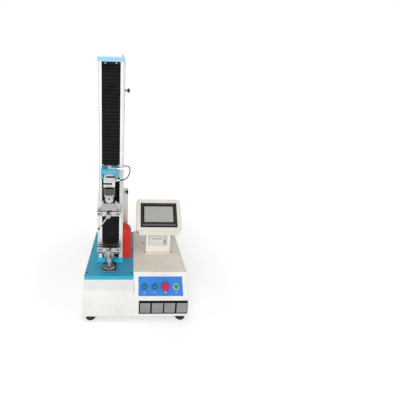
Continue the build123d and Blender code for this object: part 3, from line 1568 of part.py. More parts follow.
# Paper roll on the spindle
with BuildPart() as paper_roll:
    with BuildSketch(side_plane(well_x - paper_width / 2)):
        with Locations((pedestal_front + printer_well_depth / 2, printer_z)):
            Circle(paper_diameter / 2)
            Circle(paper_core / 2 + fit_gap, mode=Mode.SUBTRACT)
    extrude(amount=paper_width)
paper_roll.part.label = "paper_roll"
export_step(paper_roll.part, "parts/paper_roll.step")
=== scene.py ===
import bmesh
import bpy
import numpy as np
from mathutils import Matrix, Vector


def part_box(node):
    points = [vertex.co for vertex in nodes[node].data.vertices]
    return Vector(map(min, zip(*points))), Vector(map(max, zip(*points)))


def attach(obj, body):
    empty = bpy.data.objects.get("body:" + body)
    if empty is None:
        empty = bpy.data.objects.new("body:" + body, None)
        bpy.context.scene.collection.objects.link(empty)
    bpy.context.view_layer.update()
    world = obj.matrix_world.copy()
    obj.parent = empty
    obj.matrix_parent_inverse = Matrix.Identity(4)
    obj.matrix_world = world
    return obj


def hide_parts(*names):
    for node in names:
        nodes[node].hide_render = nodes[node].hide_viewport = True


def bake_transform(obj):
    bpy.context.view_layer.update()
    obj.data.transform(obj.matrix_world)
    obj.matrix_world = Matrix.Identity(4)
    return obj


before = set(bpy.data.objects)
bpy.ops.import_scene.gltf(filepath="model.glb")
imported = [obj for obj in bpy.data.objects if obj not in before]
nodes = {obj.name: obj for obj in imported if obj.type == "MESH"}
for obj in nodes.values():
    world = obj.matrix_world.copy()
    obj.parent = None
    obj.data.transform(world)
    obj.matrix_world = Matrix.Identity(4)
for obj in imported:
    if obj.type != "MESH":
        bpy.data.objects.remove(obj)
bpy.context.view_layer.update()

scene = bpy.context.scene
scene.view_settings.view_transform = "Standard"

# Studio: a pale floor under a white backdrop, a large soft box in front on the left, and weaker
# ones on the right and above. They add up to a plain level with the even world light. Metal
# mirrors the backdrop, the floor and the two weaker boxes, and not the front one.
FLOOR_SIZE = 24.0
FLOOR_WHITE = (0.76, 0.76, 0.76, 1.0)
FLOOR_GLOW_NEAR = 0.44
FLOOR_GLOW_FAR = 0.90
GLOW_START = 0.45
GLOW_END = 2.2
WHITE = (1.0, 1.0, 1.0, 1.0)
AMBIENT = 0.42
BACKDROP = 1.0
SOFT_BOXES = (  # name, place, target, size, watts, mirrored in metal
    ("front_soft_box", (-0.8, -3.1, 1.45), (-0.05, 0.0, 0.60), 2.2, 60.0, False),
    ("side_soft_box", (2.6, -1.9, 1.2), (-0.05, 0.0, 0.45), 1.6, 16.0, True),
    ("top_soft_box", (-0.5, -0.2, 3.2), (-0.05, 0.0, 0.40), 1.8, 8.0, True),
)


def add_math(tree, operation, *values):
    """Math node of a node tree. Each value is a number or another node's output."""
    node = tree.nodes.new("ShaderNodeMath")
    node.operation = operation
    for socket, value in zip(node.inputs, values):
        if isinstance(value, bpy.types.NodeSocket):
            tree.links.new(value, socket)
        else:
            socket.default_value = value
    return node.outputs[0]


def add_range(tree, value, low, high, first=0.0, last=1.0):
    """Map Range node of a node tree: a value from low to high becomes first to last."""
    node = tree.nodes.new("ShaderNodeMapRange")
    limits = {"From Min": low, "From Max": high, "To Min": first, "To Max": last}
    for socket_name, limit in limits.items():
        node.inputs[socket_name].default_value = limit
    tree.links.new(value, node.inputs["Value"])
    return node.outputs["Result"]


def backdrop_rays(tree):
    """1 for rays that show the backdrop to the camera, in metal or through glass, and 0 for rays
    that light the machine: the largest of the three flags of Light Path."""
    rays = tree.nodes.new("ShaderNodeLightPath").outputs
    seen_or_mirrored = add_math(tree, "MAXIMUM", rays["Is Camera Ray"], rays["Is Glossy Ray"])
    return add_math(tree, "MAXIMUM", seen_or_mirrored, rays["Is Transmission Ray"])


world = bpy.data.worlds.new("studio_light")
scene.world = world
world.use_nodes = True
sky_tree = world.node_tree
sky_tree.nodes.clear()
sky_out = sky_tree.nodes.new("ShaderNodeOutputWorld")
sky_mix = sky_tree.nodes.new("ShaderNodeMixShader")
sky_tree.links.new(backdrop_rays(sky_tree), sky_mix.inputs["Fac"])
for socket, strength in ((sky_mix.inputs[1], AMBIENT), (sky_mix.inputs[2], BACKDROP)):
    sky_glow = sky_tree.nodes.new("ShaderNodeBackground")
    sky_glow.inputs["Color"].default_value = WHITE
    sky_glow.inputs["Strength"].default_value = strength
    sky_tree.links.new(sky_glow.outputs[0], socket)
sky_tree.links.new(sky_mix.outputs[0], sky_out.inputs["Surface"])

for lamp_name, place, target, size, watts, mirrored in SOFT_BOXES:
    lamp = bpy.data.lights.new(lamp_name, "AREA")
    lamp.shape = "SQUARE"
    lamp.size = size
    lamp.energy = watts
    lamp_object = bpy.data.objects.new(lamp_name, lamp)
    scene.collection.objects.link(lamp_object)
    aim = (Vector(target) - Vector(place)).to_track_quat("-Z", "Y")
    lamp_object.matrix_world = Matrix.Translation(place) @ aim.to_matrix().to_4x4()
    lamp_object.visible_glossy = mirrored

floor_mesh = bpy.data.meshes.new("floor")
half_floor = FLOOR_SIZE / 2
floor_corners = [(-half_floor, -half_floor, 0), (half_floor, -half_floor, 0),
                 (half_floor, half_floor, 0), (-half_floor, half_floor, 0)]
floor_mesh.from_pydata(floor_corners, [], [(0, 1, 2, 3)])
floor_object = bpy.data.objects.new("floor", floor_mesh)
scene.collection.objects.link(floor_object)
floor_paint = bpy.data.materials.new("floor_paint")
floor_paint.use_nodes = True
floor_tree = floor_paint.node_tree
floor_tree.nodes.clear()
floor_out = floor_tree.nodes.new("ShaderNodeOutputMaterial")
floor_add = floor_tree.nodes.new("ShaderNodeAddShader")
floor_matt = floor_tree.nodes.new("ShaderNodeBsdfDiffuse")
floor_matt.inputs["Color"].default_value = FLOOR_WHITE
floor_glow = floor_tree.nodes.new("ShaderNodeEmission")
floor_place = floor_tree.nodes.new("ShaderNodeTexCoord")
floor_away = floor_tree.nodes.new("ShaderNodeVectorMath")
floor_away.operation = "LENGTH"
floor_tree.links.new(floor_place.outputs["Object"], floor_away.inputs[0])
floor_reach = add_range(floor_tree, floor_away.outputs["Value"], GLOW_START, GLOW_END,
                        FLOOR_GLOW_NEAR, FLOOR_GLOW_FAR)
floor_seen = add_math(floor_tree, "MULTIPLY", backdrop_rays(floor_tree), floor_reach)
floor_tree.links.new(floor_seen, floor_glow.inputs["Strength"])
floor_tree.links.new(floor_matt.outputs[0], floor_add.inputs[0])
floor_tree.links.new(floor_glow.outputs[0], floor_add.inputs[1])
floor_tree.links.new(floor_add.outputs[0], floor_out.inputs["Surface"])
floor_mesh.materials.append(floor_paint)

# Camera: at the photograph's viewing angle, in front of the column's right side and at four fifths
# of the machine's height. The machine stands left of the frame's middle, so the lens is shifted.
CAMERA_PLACE = Vector((-0.0332, -1.208, 0.964))
CAMERA_PITCH = 0.176
CAMERA_YAW = -0.036
CAMERA_ROLL = 0.024
FRAME_PIXELS = 400.0
FOCAL_PIXELS = 246.693
LENS_AXIS_PIXELS = (140.04, 152.01)
SENSOR = 36.0
NEAREST = 0.01

level_right = Vector((np.cos(CAMERA_YAW), np.sin(CAMERA_YAW), 0.0))
level_ahead = Vector((-np.sin(CAMERA_YAW), np.cos(CAMERA_YAW), 0.0))
ahead = level_ahead * np.cos(CAMERA_PITCH) - Vector((0, 0, 1)) * np.sin(CAMERA_PITCH)
upright = level_right.cross(ahead)
camera_right = level_right * np.cos(CAMERA_ROLL) + upright * np.sin(CAMERA_ROLL)
camera_up = upright * np.cos(CAMERA_ROLL) - level_right * np.sin(CAMERA_ROLL)
lens = bpy.data.cameras.new("photo_camera")
lens.sensor_fit = "HORIZONTAL"
lens.sensor_width = SENSOR
lens.lens = FOCAL_PIXELS / FRAME_PIXELS * SENSOR
lens.shift_x = 0.5 - LENS_AXIS_PIXELS[0] / FRAME_PIXELS
lens.shift_y = LENS_AXIS_PIXELS[1] / FRAME_PIXELS - 0.5
lens.clip_start = NEAREST
camera = bpy.data.objects.new("photo_camera", lens)
scene.collection.objects.link(camera)
turn = Matrix((camera_right, camera_up, -ahead)).transposed().to_4x4()
camera.matrix_world = Matrix.Translation(CAMERA_PLACE) @ turn
scene.camera = camera

# Base casing: folded and welded sheet steel, powder coated off-white. The top of the control box
# is painted a warmer, greyer copy of the same off-white, as painted shade for the top that gets
# less light. A welded cheek closes the step between the two fronts, and the casing stands on a pan
# with rubber feet.
OFF_WHITE = (0.85, 0.85, 0.82, 1.0)
TOP_PAINTED_SHADE = (0.85, 0.80, 0.705, 1.0)
CONTROL_TOP = 0.2035
SLOW_NOISE = (0.3, 0.7)
GLOSS_SWING = 0.07
LEAST_ROUGHNESS = 0.02
HOLLOW_SHADE_POWER = 2.0


def surface(name, colour, roughness, metallic=0.0, grain=(900, 900, 900), depth=0.00006,
            tone=0.06, tone_scale=9.0, edge=0.0006, shine=0.3, hollow_shade=0.0):
    """A finish with its own texture: colour = base x (1 +- tone x slow noise), and bump from fine
    noise stretched by grain (per metre along X, Y and Z). Edges are softened over edge metres,
    and hollows narrower than hollow_shade metres get painted shade: their colour is darkened."""
    material = bpy.data.materials.new(name)
    material.use_nodes = True
    tree = material.node_tree
    shader = tree.nodes["Principled BSDF"]
    shader.inputs["Metallic"].default_value = metallic
    shader.inputs["Specular IOR Level"].default_value = shine
    place = tree.nodes.new("ShaderNodeTexCoord")
    slow = tree.nodes.new("ShaderNodeTexNoise")
    slow.inputs["Scale"].default_value = tone_scale
    slow.inputs["Detail"].default_value = 3.0
    tree.links.new(place.outputs["Object"], slow.inputs["Vector"])
    drift = add_range(tree, slow.outputs["Fac"], *SLOW_NOISE, 1.0 - tone, 1.0 + tone)
    tint = tree.nodes.new("ShaderNodeVectorMath")
    tint.operation = "SCALE"
    tint.name = "tint"
    tint.inputs[0].default_value = colour[:3]
    tree.links.new(drift, tint.inputs["Scale"])
    paint = tint.outputs["Vector"]
    # Painted shade: ambient occlusion darkens the colour in hollows.
    if hollow_shade:
        hollow = tree.nodes.new("ShaderNodeAmbientOcclusion")
        hollow.samples = 8
        hollow.inputs["Distance"].default_value = hollow_shade
        open_share = add_math(tree, "POWER", hollow.outputs["AO"], HOLLOW_SHADE_POWER)
        shaded = tree.nodes.new("ShaderNodeVectorMath")
        shaded.operation = "SCALE"
        tree.links.new(paint, shaded.inputs[0])
        tree.links.new(open_share, shaded.inputs["Scale"])
        paint = shaded.outputs["Vector"]
    tree.links.new(paint, shader.inputs["Base Color"])
    stretch = tree.nodes.new("ShaderNodeMapping")
    stretch.inputs["Scale"].default_value = grain
    tree.links.new(place.outputs["Object"], stretch.inputs["Vector"])
    fine = tree.nodes.new("ShaderNodeTexNoise")
    fine.inputs["Scale"].default_value = 1.0
    fine.inputs["Detail"].default_value = 2.0
    tree.links.new(stretch.outputs["Vector"], fine.inputs["Vector"])
    smoothest = max(roughness - GLOSS_SWING, LEAST_ROUGHNESS)
    roughest = min(roughness + GLOSS_SWING, 1.0)
    gloss = add_range(tree, fine.outputs["Fac"], 0.0, 1.0, smoothest, roughest)
    tree.links.new(gloss, shader.inputs["Roughness"])
    bump = tree.nodes.new("ShaderNodeBump")
    bump.inputs["Strength"].default_value = 1.0
    bump.inputs["Distance"].default_value = depth
    tree.links.new(fine.outputs["Fac"], bump.inputs["Height"])
    if edge:
        soft = tree.nodes.new("ShaderNodeBevel")
        soft.samples = 4
        soft.inputs["Radius"].default_value = edge
        tree.links.new(soft.outputs["Normal"], bump.inputs["Normal"])
    tree.links.new(bump.outputs["Normal"], shader.inputs["Normal"])
    return material


def mix_colours(tree, share, first, second):
    """Colour between two, by a share from 0 to 1. A Mix node's colours are its inputs 6 and 7
    and its output 2."""
    both = tree.nodes.new("ShaderNodeMix")
    both.data_type = "RGBA"
    both.inputs[6].default_value = first
    both.inputs[7].default_value = second
    tree.links.new(share, both.inputs["Factor"])
    return both.outputs[2]


def two_tone(material, second, axis, border, width=0.0004):
    """Gives a finish a second colour beyond border along one axis of the object, in metres:
    share = clamp((coordinate - border) / width)."""
    tree = material.node_tree
    tint = tree.nodes["tint"]
    split = tree.nodes.new("ShaderNodeSeparateXYZ")
    tree.links.new(tree.nodes["Texture Coordinate"].outputs["Object"], split.inputs["Vector"])
    share = add_range(tree, split.outputs[axis], border, border + width)
    first = (*tint.inputs[0].default_value, 1.0)
    tree.links.new(mix_colours(tree, share, first, second), tint.inputs[0])
    return material


def dress(material, *names):
    """Puts a finish on CAD nodes, whose shapes stay as they are."""
    for name in names:
        for slot in nodes[name].material_slots:
            slot.material = material


casing_white = surface("casing_white", OFF_WHITE, 0.42)
# Painted shade: above CONTROL_TOP the same paint turns darker and greyer.
casing_with_shaded_top = two_tone(surface("casing_painted_top_shade", OFF_WHITE, 0.42), TOP_PAINTED_SHADE, "Z", CONTROL_TOP)
dress(casing_with_shaded_top, "base_housing")
dress(casing_white, "rear_housing")
pan_grey = surface("pan_grey", (0.45, 0.45, 0.44, 1.0), 0.5)
dress(pan_grey, "bottom_pan")
foot_rubber = surface("foot_rubber", (0.03, 0.03, 0.03, 1.0), 0.75, shine=0.15,
                      grain=(1500, 1500, 1500), depth=0.0001)
dress(foot_rubber, "rubber_feet")

MERGE_DISTANCE = 1e-7
SEAM = -0.0131
CHEEK_THICKNESS = 0.0019
CHEEK_OUTLINE = ((-0.2253, 0.100), (-0.2253, 0.1560), (-0.1842, 0.1785), (-0.160, 0.1785),
                 (-0.200, 0.100))


def lay_mesh(name, points, faces, material, body, sharp=0.6):
    """Makes an object of a point array and faces, with its faces turned outwards and smooth
    shading up to the sharp angle, and sets it on a body and a finish of the record."""
    mesh = bpy.data.meshes.new(name)
    mesh.from_pydata(np.asarray(points, float).reshape(-1, 3).tolist(), [], faces)
    shape = bmesh.new()
    shape.from_mesh(mesh)
    bmesh.ops.remove_doubles(shape, verts=shape.verts, dist=MERGE_DISTANCE)
    bmesh.ops.recalc_face_normals(shape, faces=shape.faces)
    shape.to_mesh(mesh)
    shape.free()
    mesh.shade_smooth()
    mesh.set_sharp_from_angle(angle=sharp)
    mesh.materials.append(material)
    piece = bpy.data.objects.new(name, mesh)
    scene.collection.objects.link(piece)
    if body:
        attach(piece, body)
    return piece


def ring_faces(ring_count, ring_size, first=0, cap=True):
    """Quads between neighbouring closed rings of one stack. With cap, both ends are closed."""
    ring, step = np.meshgrid(np.arange(ring_count - 1), np.arange(ring_size), indexing="ij")
    here = first + ring * ring_size + step
    beside = first + ring * ring_size + (step + 1) % ring_size
    corners = np.stack([here, beside, beside + ring_size, here + ring_size], axis=-1)
    quads = corners.reshape(-1, 4).tolist()
    if cap:
        last = first + (ring_count - 1) * ring_size
        quads.append(list(range(first + ring_size - 1, first - 1, -1)))
        quads.append(list(range(last, last + ring_size)))
    return quads


def loft(name, stacks, material, body, sharp=0.6):
    """One object of several closed solids, each a stack of rings: array (rings, points, 3)."""
    points, faces, first = [], [], 0
    for stack in stacks:
        stack = np.asarray(stack, float)
        faces += ring_faces(stack.shape[0], stack.shape[1], first)
        points.append(stack.reshape(-1, 3))
        first += stack.shape[0] * stack.shape[1]
    return lay_mesh(name, np.concatenate(points), faces, material, body, sharp)


cheek_right = np.column_stack([np.full(len(CHEEK_OUTLINE), SEAM), CHEEK_OUTLINE])
cheek_left = cheek_right - (CHEEK_THICKNESS, 0.0, 0.0)
loft("seam_cheek", [[cheek_left, cheek_right]], casing_white, "base")

# Blank strip on the front of the control box: a dark adhesive foil, cut to a rectangle and stuck
# on the paint, with four plain grey fields of the same foil on it.
STRIP_FRONT = -0.227
STRIP_MIDDLE = (0.125, 0.0712)
STRIP_SIZE = (0.224, 0.0685)
STRIP_CORNER = 0.002
STRIP_RISE = 0.0004
FIELD_HEIGHT = 0.0497
FIELD_ROW = 0.0676
FIELD_SPANS = ((0.0186, 0.0656), (0.0734, 0.1238), (0.1297, 0.1789), (0.1868, 0.2343))
FIELD_CORNER = 0.0012
FIELD_RISE = 0.0007
FRONT_ACROSS = (1.0, 0.0, 0.0)
FRONT_UP = (0.0, 0.0, 1.0)
LEAST_CORNER = 1e-5


def rounded_outline(width, height, radius, steps=6):
    """Rectangle with round corners as points (u, v): each corner is a quarter circle."""
    angle = np.linspace(0, np.pi / 2, steps)
    corner = np.stack([np.cos(angle), np.sin(angle)], axis=-1) * radius
    quarter = np.array([[0, -1], [1, 0]])
    outline = []
    for turn_count, (sign_u, sign_v) in enumerate(((1, 1), (-1, 1), (-1, -1), (1, -1))):
        middle = np.array([sign_u * (width / 2 - radius), sign_v * (height / 2 - radius)])
        outline.append(corner @ np.linalg.matrix_power(quarter, turn_count).T + middle)
    return np.concatenate(outline)


def on_plane(flat, origin, across, upward, rise):
    """Points (u, v) of a sketch set on a plane: origin + u across + v upward + rise normal."""
    across, upward = np.asarray(across, float), np.asarray(upward, float)
    normal = np.cross(across, upward)
    return np.asarray(origin) + flat[:, :1] * across + flat[:, 1:] * upward + rise * normal


def plate(size, corner, rise, origin, across, upward, middle, bevel=0.0002, sink=0.0005):
    """Stack of rings of a thin plate with round corners and a bevelled rim, sunk a little into
    what carries it: the outline at two levels, then the outline less the bevel on top."""
    width, height = size
    outline = rounded_outline(width, height, corner) + np.asarray(middle)
    top_corner = max(corner - bevel, LEAST_CORNER)
    top = rounded_outline(width - 2 * bevel, height - 2 * bevel, top_corner) + np.asarray(middle)
    return np.stack([
        on_plane(outline, origin, across, upward, -sink),
        on_plane(outline, origin, across, upward, rise - bevel),
        on_plane(top, origin, across, upward, rise),
    ])


def front_plate(size, corner, rise, front, middle, **rim):
    """Plate on an upright plane that faces the front, at Y = front."""
    return plate(size, corner, rise, (0.0, front, 0.0), FRONT_ACROSS, FRONT_UP, middle, **rim)


foil_black = surface("foil_black", (0.011, 0.011, 0.012, 1.0), 0.5, shine=0.06, depth=0.00002)
foil_grey = surface("foil_grey", (0.30, 0.288, 0.295, 1.0), 0.45, shine=0.15,
                    grain=(80, 2500, 2500), depth=0.00002, tone=0.12, tone_scale=30)
strip = front_plate(STRIP_SIZE, STRIP_CORNER, STRIP_RISE, STRIP_FRONT, STRIP_MIDDLE)
loft("blank_strip", [strip], foil_black, "base")
fields = [front_plate((right - left, FIELD_HEIGHT), FIELD_CORNER, FIELD_RISE, STRIP_FRONT,
                      ((left + right) / 2, FIELD_ROW)) for left, right in FIELD_SPANS]
loft("blank_fields", fields, foil_grey, "base")

# Deck: thick steel plate, flame cut and ground, painted teal, screwed down on the casing's rim.
# The column's flange is the same painted steel, and its brighter cyan is painted light: a lit copy
# of the colour for a front that stands in shade.
deck_teal = surface("deck_teal", (0.037, 0.385, 0.575, 1.0), 0.36, tone=0.05)
# Painted light: the flange's cyan is lightened to stand for light on its shaded front.
flange_lit_cyan = surface("flange_lit_cyan", (0.045, 0.70, 0.95, 1.0), 0.34)
black_screw = surface("black_screw", (0.03, 0.03, 0.032, 1.0), 0.38, metallic=0.8, depth=0.00002)
dress(deck_teal, "deck_plate")
dress(flange_lit_cyan, "column_flange")
dress(black_screw, "frame_fasteners")

# Small socket screws: turned steel heads, blackened, with a domed rim and a pressed hexagon. They
# hold the console's foot, the control box's lid, the pan and the cover over the motor.
HEX_SIDES = 6
SCREW_POINTS = 24
LID_HEAD = (0.0036, 0.0022)
PAN_HEAD = (0.0036, 0.0009)
COVER_HEAD = (0.0036, 0.0018)
UP = (0.0, 0.0, 1.0)
RIGHT = (1.0, 0.0, 0.0)
LEFT = (-1.0, 0.0, 0.0)
BACK = (0.0, 1.0, 0.0)
LID_SEATS = [(0.040, 0.088, 0.204), (0.212, 0.204, 0.204), (0.016, 0.204, 0.204)]
FOOT_COLUMNS = (0.0455, 0.1895)
FOOT_ROWS = (-0.0085, 0.0785)
FOOT_TOP = 0.207
PAN_HEIGHT = 0.040
PAN_SIDE_ROWS = (-0.160, 0.0, 0.160)
PAN_BACK_COLUMNS = (-0.200, -0.070, 0.070, 0.200)
COVER_INSET = 0.010


def socket_screw(seat, outward, radius, height):
    """Stack of rings of one socket head: circles up the side and over the rim, then a hexagon
    r = apothem / cos(angle from the nearest flat) that goes down into the socket."""
    normal = Vector(outward).normalized()
    turn_axis = normal.to_track_quat("Z", "Y").to_matrix()
    angle = np.linspace(0, 2 * np.pi, SCREW_POINTS, endpoint=False)
    around = np.stack([np.cos(angle), np.sin(angle)], axis=-1)
    side = 2 * np.pi / HEX_SIDES
    flat_angle = (angle + side / 2) % side - side / 2
    hexagon = around * (np.cos(side / 2) / np.cos(flat_angle))[:, None]
    steps = ((around, 1.0, -0.05), (around, 1.0, 0.72), (around, 0.9, 0.93), (around, 0.76, 1.0),
             (hexagon, 0.56, 1.0), (hexagon, 0.54, 0.35))
    rings = [np.column_stack([outline * share * radius, np.full(SCREW_POINTS, level * height)])
             for outline, share, level in steps]
    return np.stack(rings) @ np.array(turn_axis).T + np.asarray(seat)


foot_seats = [(x, y, FOOT_TOP) for x in FOOT_COLUMNS for y in FOOT_ROWS]
loft("lid_screws", [socket_screw(seat, UP, *LID_HEAD) for seat in LID_SEATS + foot_seats],
     black_screw, "base")
base_low, base_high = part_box("base_housing")
pan_seats = [((base_high[0], y, PAN_HEIGHT), RIGHT) for y in PAN_SIDE_ROWS]
pan_seats += [((base_low[0], y, PAN_HEIGHT), LEFT) for y in PAN_SIDE_ROWS]
pan_seats += [((x, base_high[1], PAN_HEIGHT), BACK) for x in PAN_BACK_COLUMNS]
loft("pan_screws", [socket_screw(seat, outward, *PAN_HEAD) for seat, outward in pan_seats],
     black_screw, "base")
cover_low, cover_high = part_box("rear_housing")
cover_columns = (cover_low[0] + COVER_INSET, cover_high[0] - COVER_INSET)
cover_rows = np.linspace(cover_low[2] + COVER_INSET, cover_high[2] - COVER_INSET, 3)
cover_seats = [(x, cover_high[1], z) for x in cover_columns for z in cover_rows]
loft("cover_screws", [socket_screw(seat, BACK, *COVER_HEAD) for seat in cover_seats],
     black_screw, "base")

# Column: aluminium channel, sawn, milled and powder coated white, with a fine groove down each
# front lip, drawn only as a grey line of painted shade. A painted cap closes it, and a red sheet
# guard covers the limit switches.
COLUMN_WHITE = (0.88, 0.88, 0.855, 1.0)
GROOVE_SHADE_GREY = (0.50, 0.49, 0.46, 1.0)
GROOVE_FROM_EDGE = 0.0055
GROOVE_WIDTH = 0.0009
column_low, column_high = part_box("column_profile")
column_middle = (column_low[0] + column_high[0]) / 2
groove_from_middle = (column_high[0] - column_low[0]) / 2 - GROOVE_FROM_EDGE
column_white = surface("column_white", COLUMN_WHITE, 0.4)
column_tree = column_white.node_tree
column_coordinate = column_tree.nodes["Texture Coordinate"].outputs["Object"]
column_place = column_tree.nodes.new("ShaderNodeSeparateXYZ")
column_tree.links.new(column_coordinate, column_place.inputs["Vector"])
from_middle = add_math(column_tree, "SUBTRACT", column_place.outputs["X"], column_middle)
either_side = add_math(column_tree, "ABSOLUTE", from_middle)
# Painted shade: a grey line down each lip stands for the groove's shade.
groove = add_math(column_tree, "COMPARE", either_side, groove_from_middle, GROOVE_WIDTH)
groove_shade = mix_colours(column_tree, groove, COLUMN_WHITE, GROOVE_SHADE_GREY)
column_tree.links.new(groove_shade, column_tree.nodes["tint"].inputs[0])
dress(column_white, "column_profile")
cap_blue = surface("cap_blue", (0.38, 0.68, 0.84, 1.0), 0.36)
dress(cap_blue, "column_cap")
guard_red = surface("guard_red", (0.66, 0.040, 0.037, 1.0), 0.5, tone=0.08, shine=0.1)
dress(guard_red, "limit_guard")

# Drive inside the column and the rear cover: a ground ball screw and two guide rods in aluminium
# bearing plates, a carriage, and a black motor that turns the screw over a toothed rubber belt.
ground_steel = surface("ground_steel", (0.66, 0.66, 0.67, 1.0), 0.18, metallic=1.0,
                       grain=(1500, 1500, 60), depth=0.00002)
plain_aluminium = surface("plain_aluminium", (0.60, 0.61, 0.62, 1.0), 0.38, metallic=1.0,
                          grain=(60, 1200, 1200), depth=0.00003)
belt_rubber = surface("belt_rubber", (0.02, 0.02, 0.022, 1.0), 0.7)
motor_black = surface("motor_black", (0.025, 0.025, 0.028, 1.0), 0.55)
board_green = surface("board_green", (0.03, 0.17, 0.08, 1.0), 0.45, tone=0.15, tone_scale=60)
moulded_black = surface("moulded_black", (0.022, 0.022, 0.024, 1.0), 0.48,
                        grain=(1400, 1400, 1400), depth=0.00008)
rod_steel = surface("rod_steel", (0.36, 0.36, 0.355, 1.0), 0.25, metallic=1.0,
                    grain=(1500, 1500, 60), depth=0.00002)
dress(ground_steel, "ball_screw", "guide_rods")
dress(rod_steel, "limit_rod")
dress(plain_aluminium, "bearing_plates", "carriage", "screw_pulley", "motor_pulley",
      "upper_limit_collar", "lower_limit_collar")
dress(belt_rubber, "timing_belt")
dress(motor_black, "drive_motor")
dress(board_green, "motor_controller")
dress(moulded_black, "power_inlet", "limit_switches")

# Bellows: black coated fabric, pressed into pleats and clamped by a steel strip at each end.
# Each pleat has its own height and depth, and its front edge hangs a little in the middle.
PLEATS = 28
PLEAT_STEPS = 10
ACROSS_STEPS = 28
FABRIC = 0.0009
PLEAT_SHARPNESS = 0.985
PLEAT_SPREAD = 0.05
PLEAT_LIMITS = (0.88, 1.12)
FOLD_DEPTH = 0.96
FOLD_SPREAD = 0.02
FOLD_LIMITS = (0.9, 1.0)
FOLD_ANGLE = 1.2
PLEAT_SAG = 0.0011
SAG_EASE = 0.25
PLEAT_SEED = 7
BELLOWS_REACH = 0.068
bellows_fabric = surface("bellows_fabric", (0.0145, 0.0145, 0.0165, 1.0), 0.55, shine=0.14,
                         grain=(1800, 900, 1800), depth=0.00012, tone=0.2, tone_scale=40, edge=0.0)
strip_black = surface("strip_black", (0.012, 0.012, 0.013, 1.0), 0.5, shine=0.1)
dress(strip_black, "bellows_strips")
chance = np.random.default_rng(PLEAT_SEED)


def pleated(node):
    """Sheet y(s) = middle + depth arcsin(k cos(2 pi pleats s)) / arcsin(k), a wave with tight
    folds, carried across X. Each pleat's share of the height and its depth vary a little."""
    low, high = (np.array(corner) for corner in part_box(node))
    share = chance.normal(1.0, PLEAT_SPREAD, PLEATS).clip(*PLEAT_LIMITS)
    edges = np.concatenate([[0.0], np.cumsum(share) / share.sum()])
    phase = np.linspace(0, PLEATS, PLEATS * PLEAT_STEPS + 1)
    height = low[2] + (high[2] - low[2]) * np.interp(phase, np.arange(PLEATS + 1), edges)
    fold_depth = chance.normal(FOLD_DEPTH, FOLD_SPREAD, PLEATS + 1).clip(*FOLD_LIMITS)
    depth_share = np.interp(phase, np.arange(PLEATS + 1), fold_depth)
    wave = np.arcsin(PLEAT_SHARPNESS * np.cos(2 * np.pi * phase)) / np.arcsin(PLEAT_SHARPNESS)
    middle = (low[1] + high[1]) / 2
    swing = (high[1] - low[1] - 2 * FABRIC) / 2
    front = middle + swing * depth_share * wave
    across = np.linspace(-1, 1, ACROSS_STEPS)
    drape = PLEAT_SAG * (1 - across ** 2)
    fold_share = (1 - wave) / 2
    ends = np.sin(np.pi * np.linspace(0, 1, phase.size)) ** SAG_EASE
    x = (low[0] + high[0]) / 2 + across * (high[0] - low[0]) / 2
    grid_z = height[:, None] - (fold_share * ends)[:, None] * drape
    grid_y = np.broadcast_to(front[:, None], grid_z.shape)
    grid_x = np.broadcast_to(x, grid_z.shape)
    near = np.stack([grid_x, grid_y - FABRIC / 2, grid_z], axis=-1)
    far = np.stack([grid_x, grid_y + FABRIC / 2, grid_z], axis=-1)[:, ::-1]
    run = np.hypot(np.diff(front), np.diff(height)).sum()
    return np.concatenate([near, far], axis=1), run, low, high


for bellows_node, hangs, spare in (("upper_bellows", True, BELLOWS_REACH),
                                   ("lower_bellows", False, 0.0)):
    rings, cloth_run, low, high = pleated(bellows_node)
    bellows = loft(bellows_node + "_cloth", [rings], bellows_fabric, None,
                   sharp=FOLD_ANGLE)
    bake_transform(bellows)
    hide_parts(bellows_node)

CLAMP_FACE = -0.050
CLAMP_COLUMNS = (-0.156, -0.1065)
CLAMP_ROWS = (1.159, 0.212)
CLAMP_HEAD = (0.0030, 0.0020)
FRONT = (0.0, -1.0, 0.0)
steel_screw = surface("steel_screw", (0.84, 0.84, 0.85, 1.0), 0.24, metallic=1.0, depth=0.00002)
clamp_seats = [(x, CLAMP_FACE, z) for x in CLAMP_COLUMNS for z in CLAMP_ROWS]
loft("strip_screws", [socket_screw(seat, FRONT, *CLAMP_HEAD) for seat in clamp_seats],
     steel_screw, "base")

# Crosshead: welded steel bracket, painted cyan, bolted to the carriage's neck. The S-shaped load
# cell hangs in it on one socket bolt, with the cable's support arm under the bolt's head. Black
# plates with a front lip fill the cell's slots as painted shade, and a plain foil covers its
# gauges.
TRAIN_MIDDLE = 0.62
CELL_FOIL = (0.040, 0.017)
FOIL_CORNER = 0.001
FOIL_RISE = 0.0003
CELL_SLOT = (0.039, 0.0055)
SLOT_INSET = 0.017
SHADE_BACK = 0.001
SHADE_LIP = (0.039, 0.0078)
SHADE_CORNER = 0.0004
CORE_RISE = 0.0002
LIP_RISE = 0.0004
crosshead_cyan = surface("crosshead_cyan", (0.07, 0.45, 0.62, 1.0), 0.34)
dress(crosshead_cyan, "crosshead_arm")
# The load cell's finish gets painted shade in its hollows.
cell_steel = surface("cell_steel", (0.57, 0.555, 0.535, 1.0), 0.3, metallic=0.9,
                     grain=(70, 1500, 1500), depth=0.00003, hollow_shade=0.022)
dress(cell_steel, "load_cell")
dress(ground_steel, "support_arm")
dress(steel_screw, "cable_gland")
train_dark = surface("train_two_tone", (0.05, 0.05, 0.052, 1.0), 0.3, metallic=1.0)
train_steel = two_tone(train_dark, (0.34, 0.34, 0.345, 1.0), "Z", TRAIN_MIDDLE)
dress(train_steel, "load_train_fasteners")
cell_low, cell_high = (np.array(corner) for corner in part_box("load_cell"))
cell_middle = (cell_low + cell_high) / 2
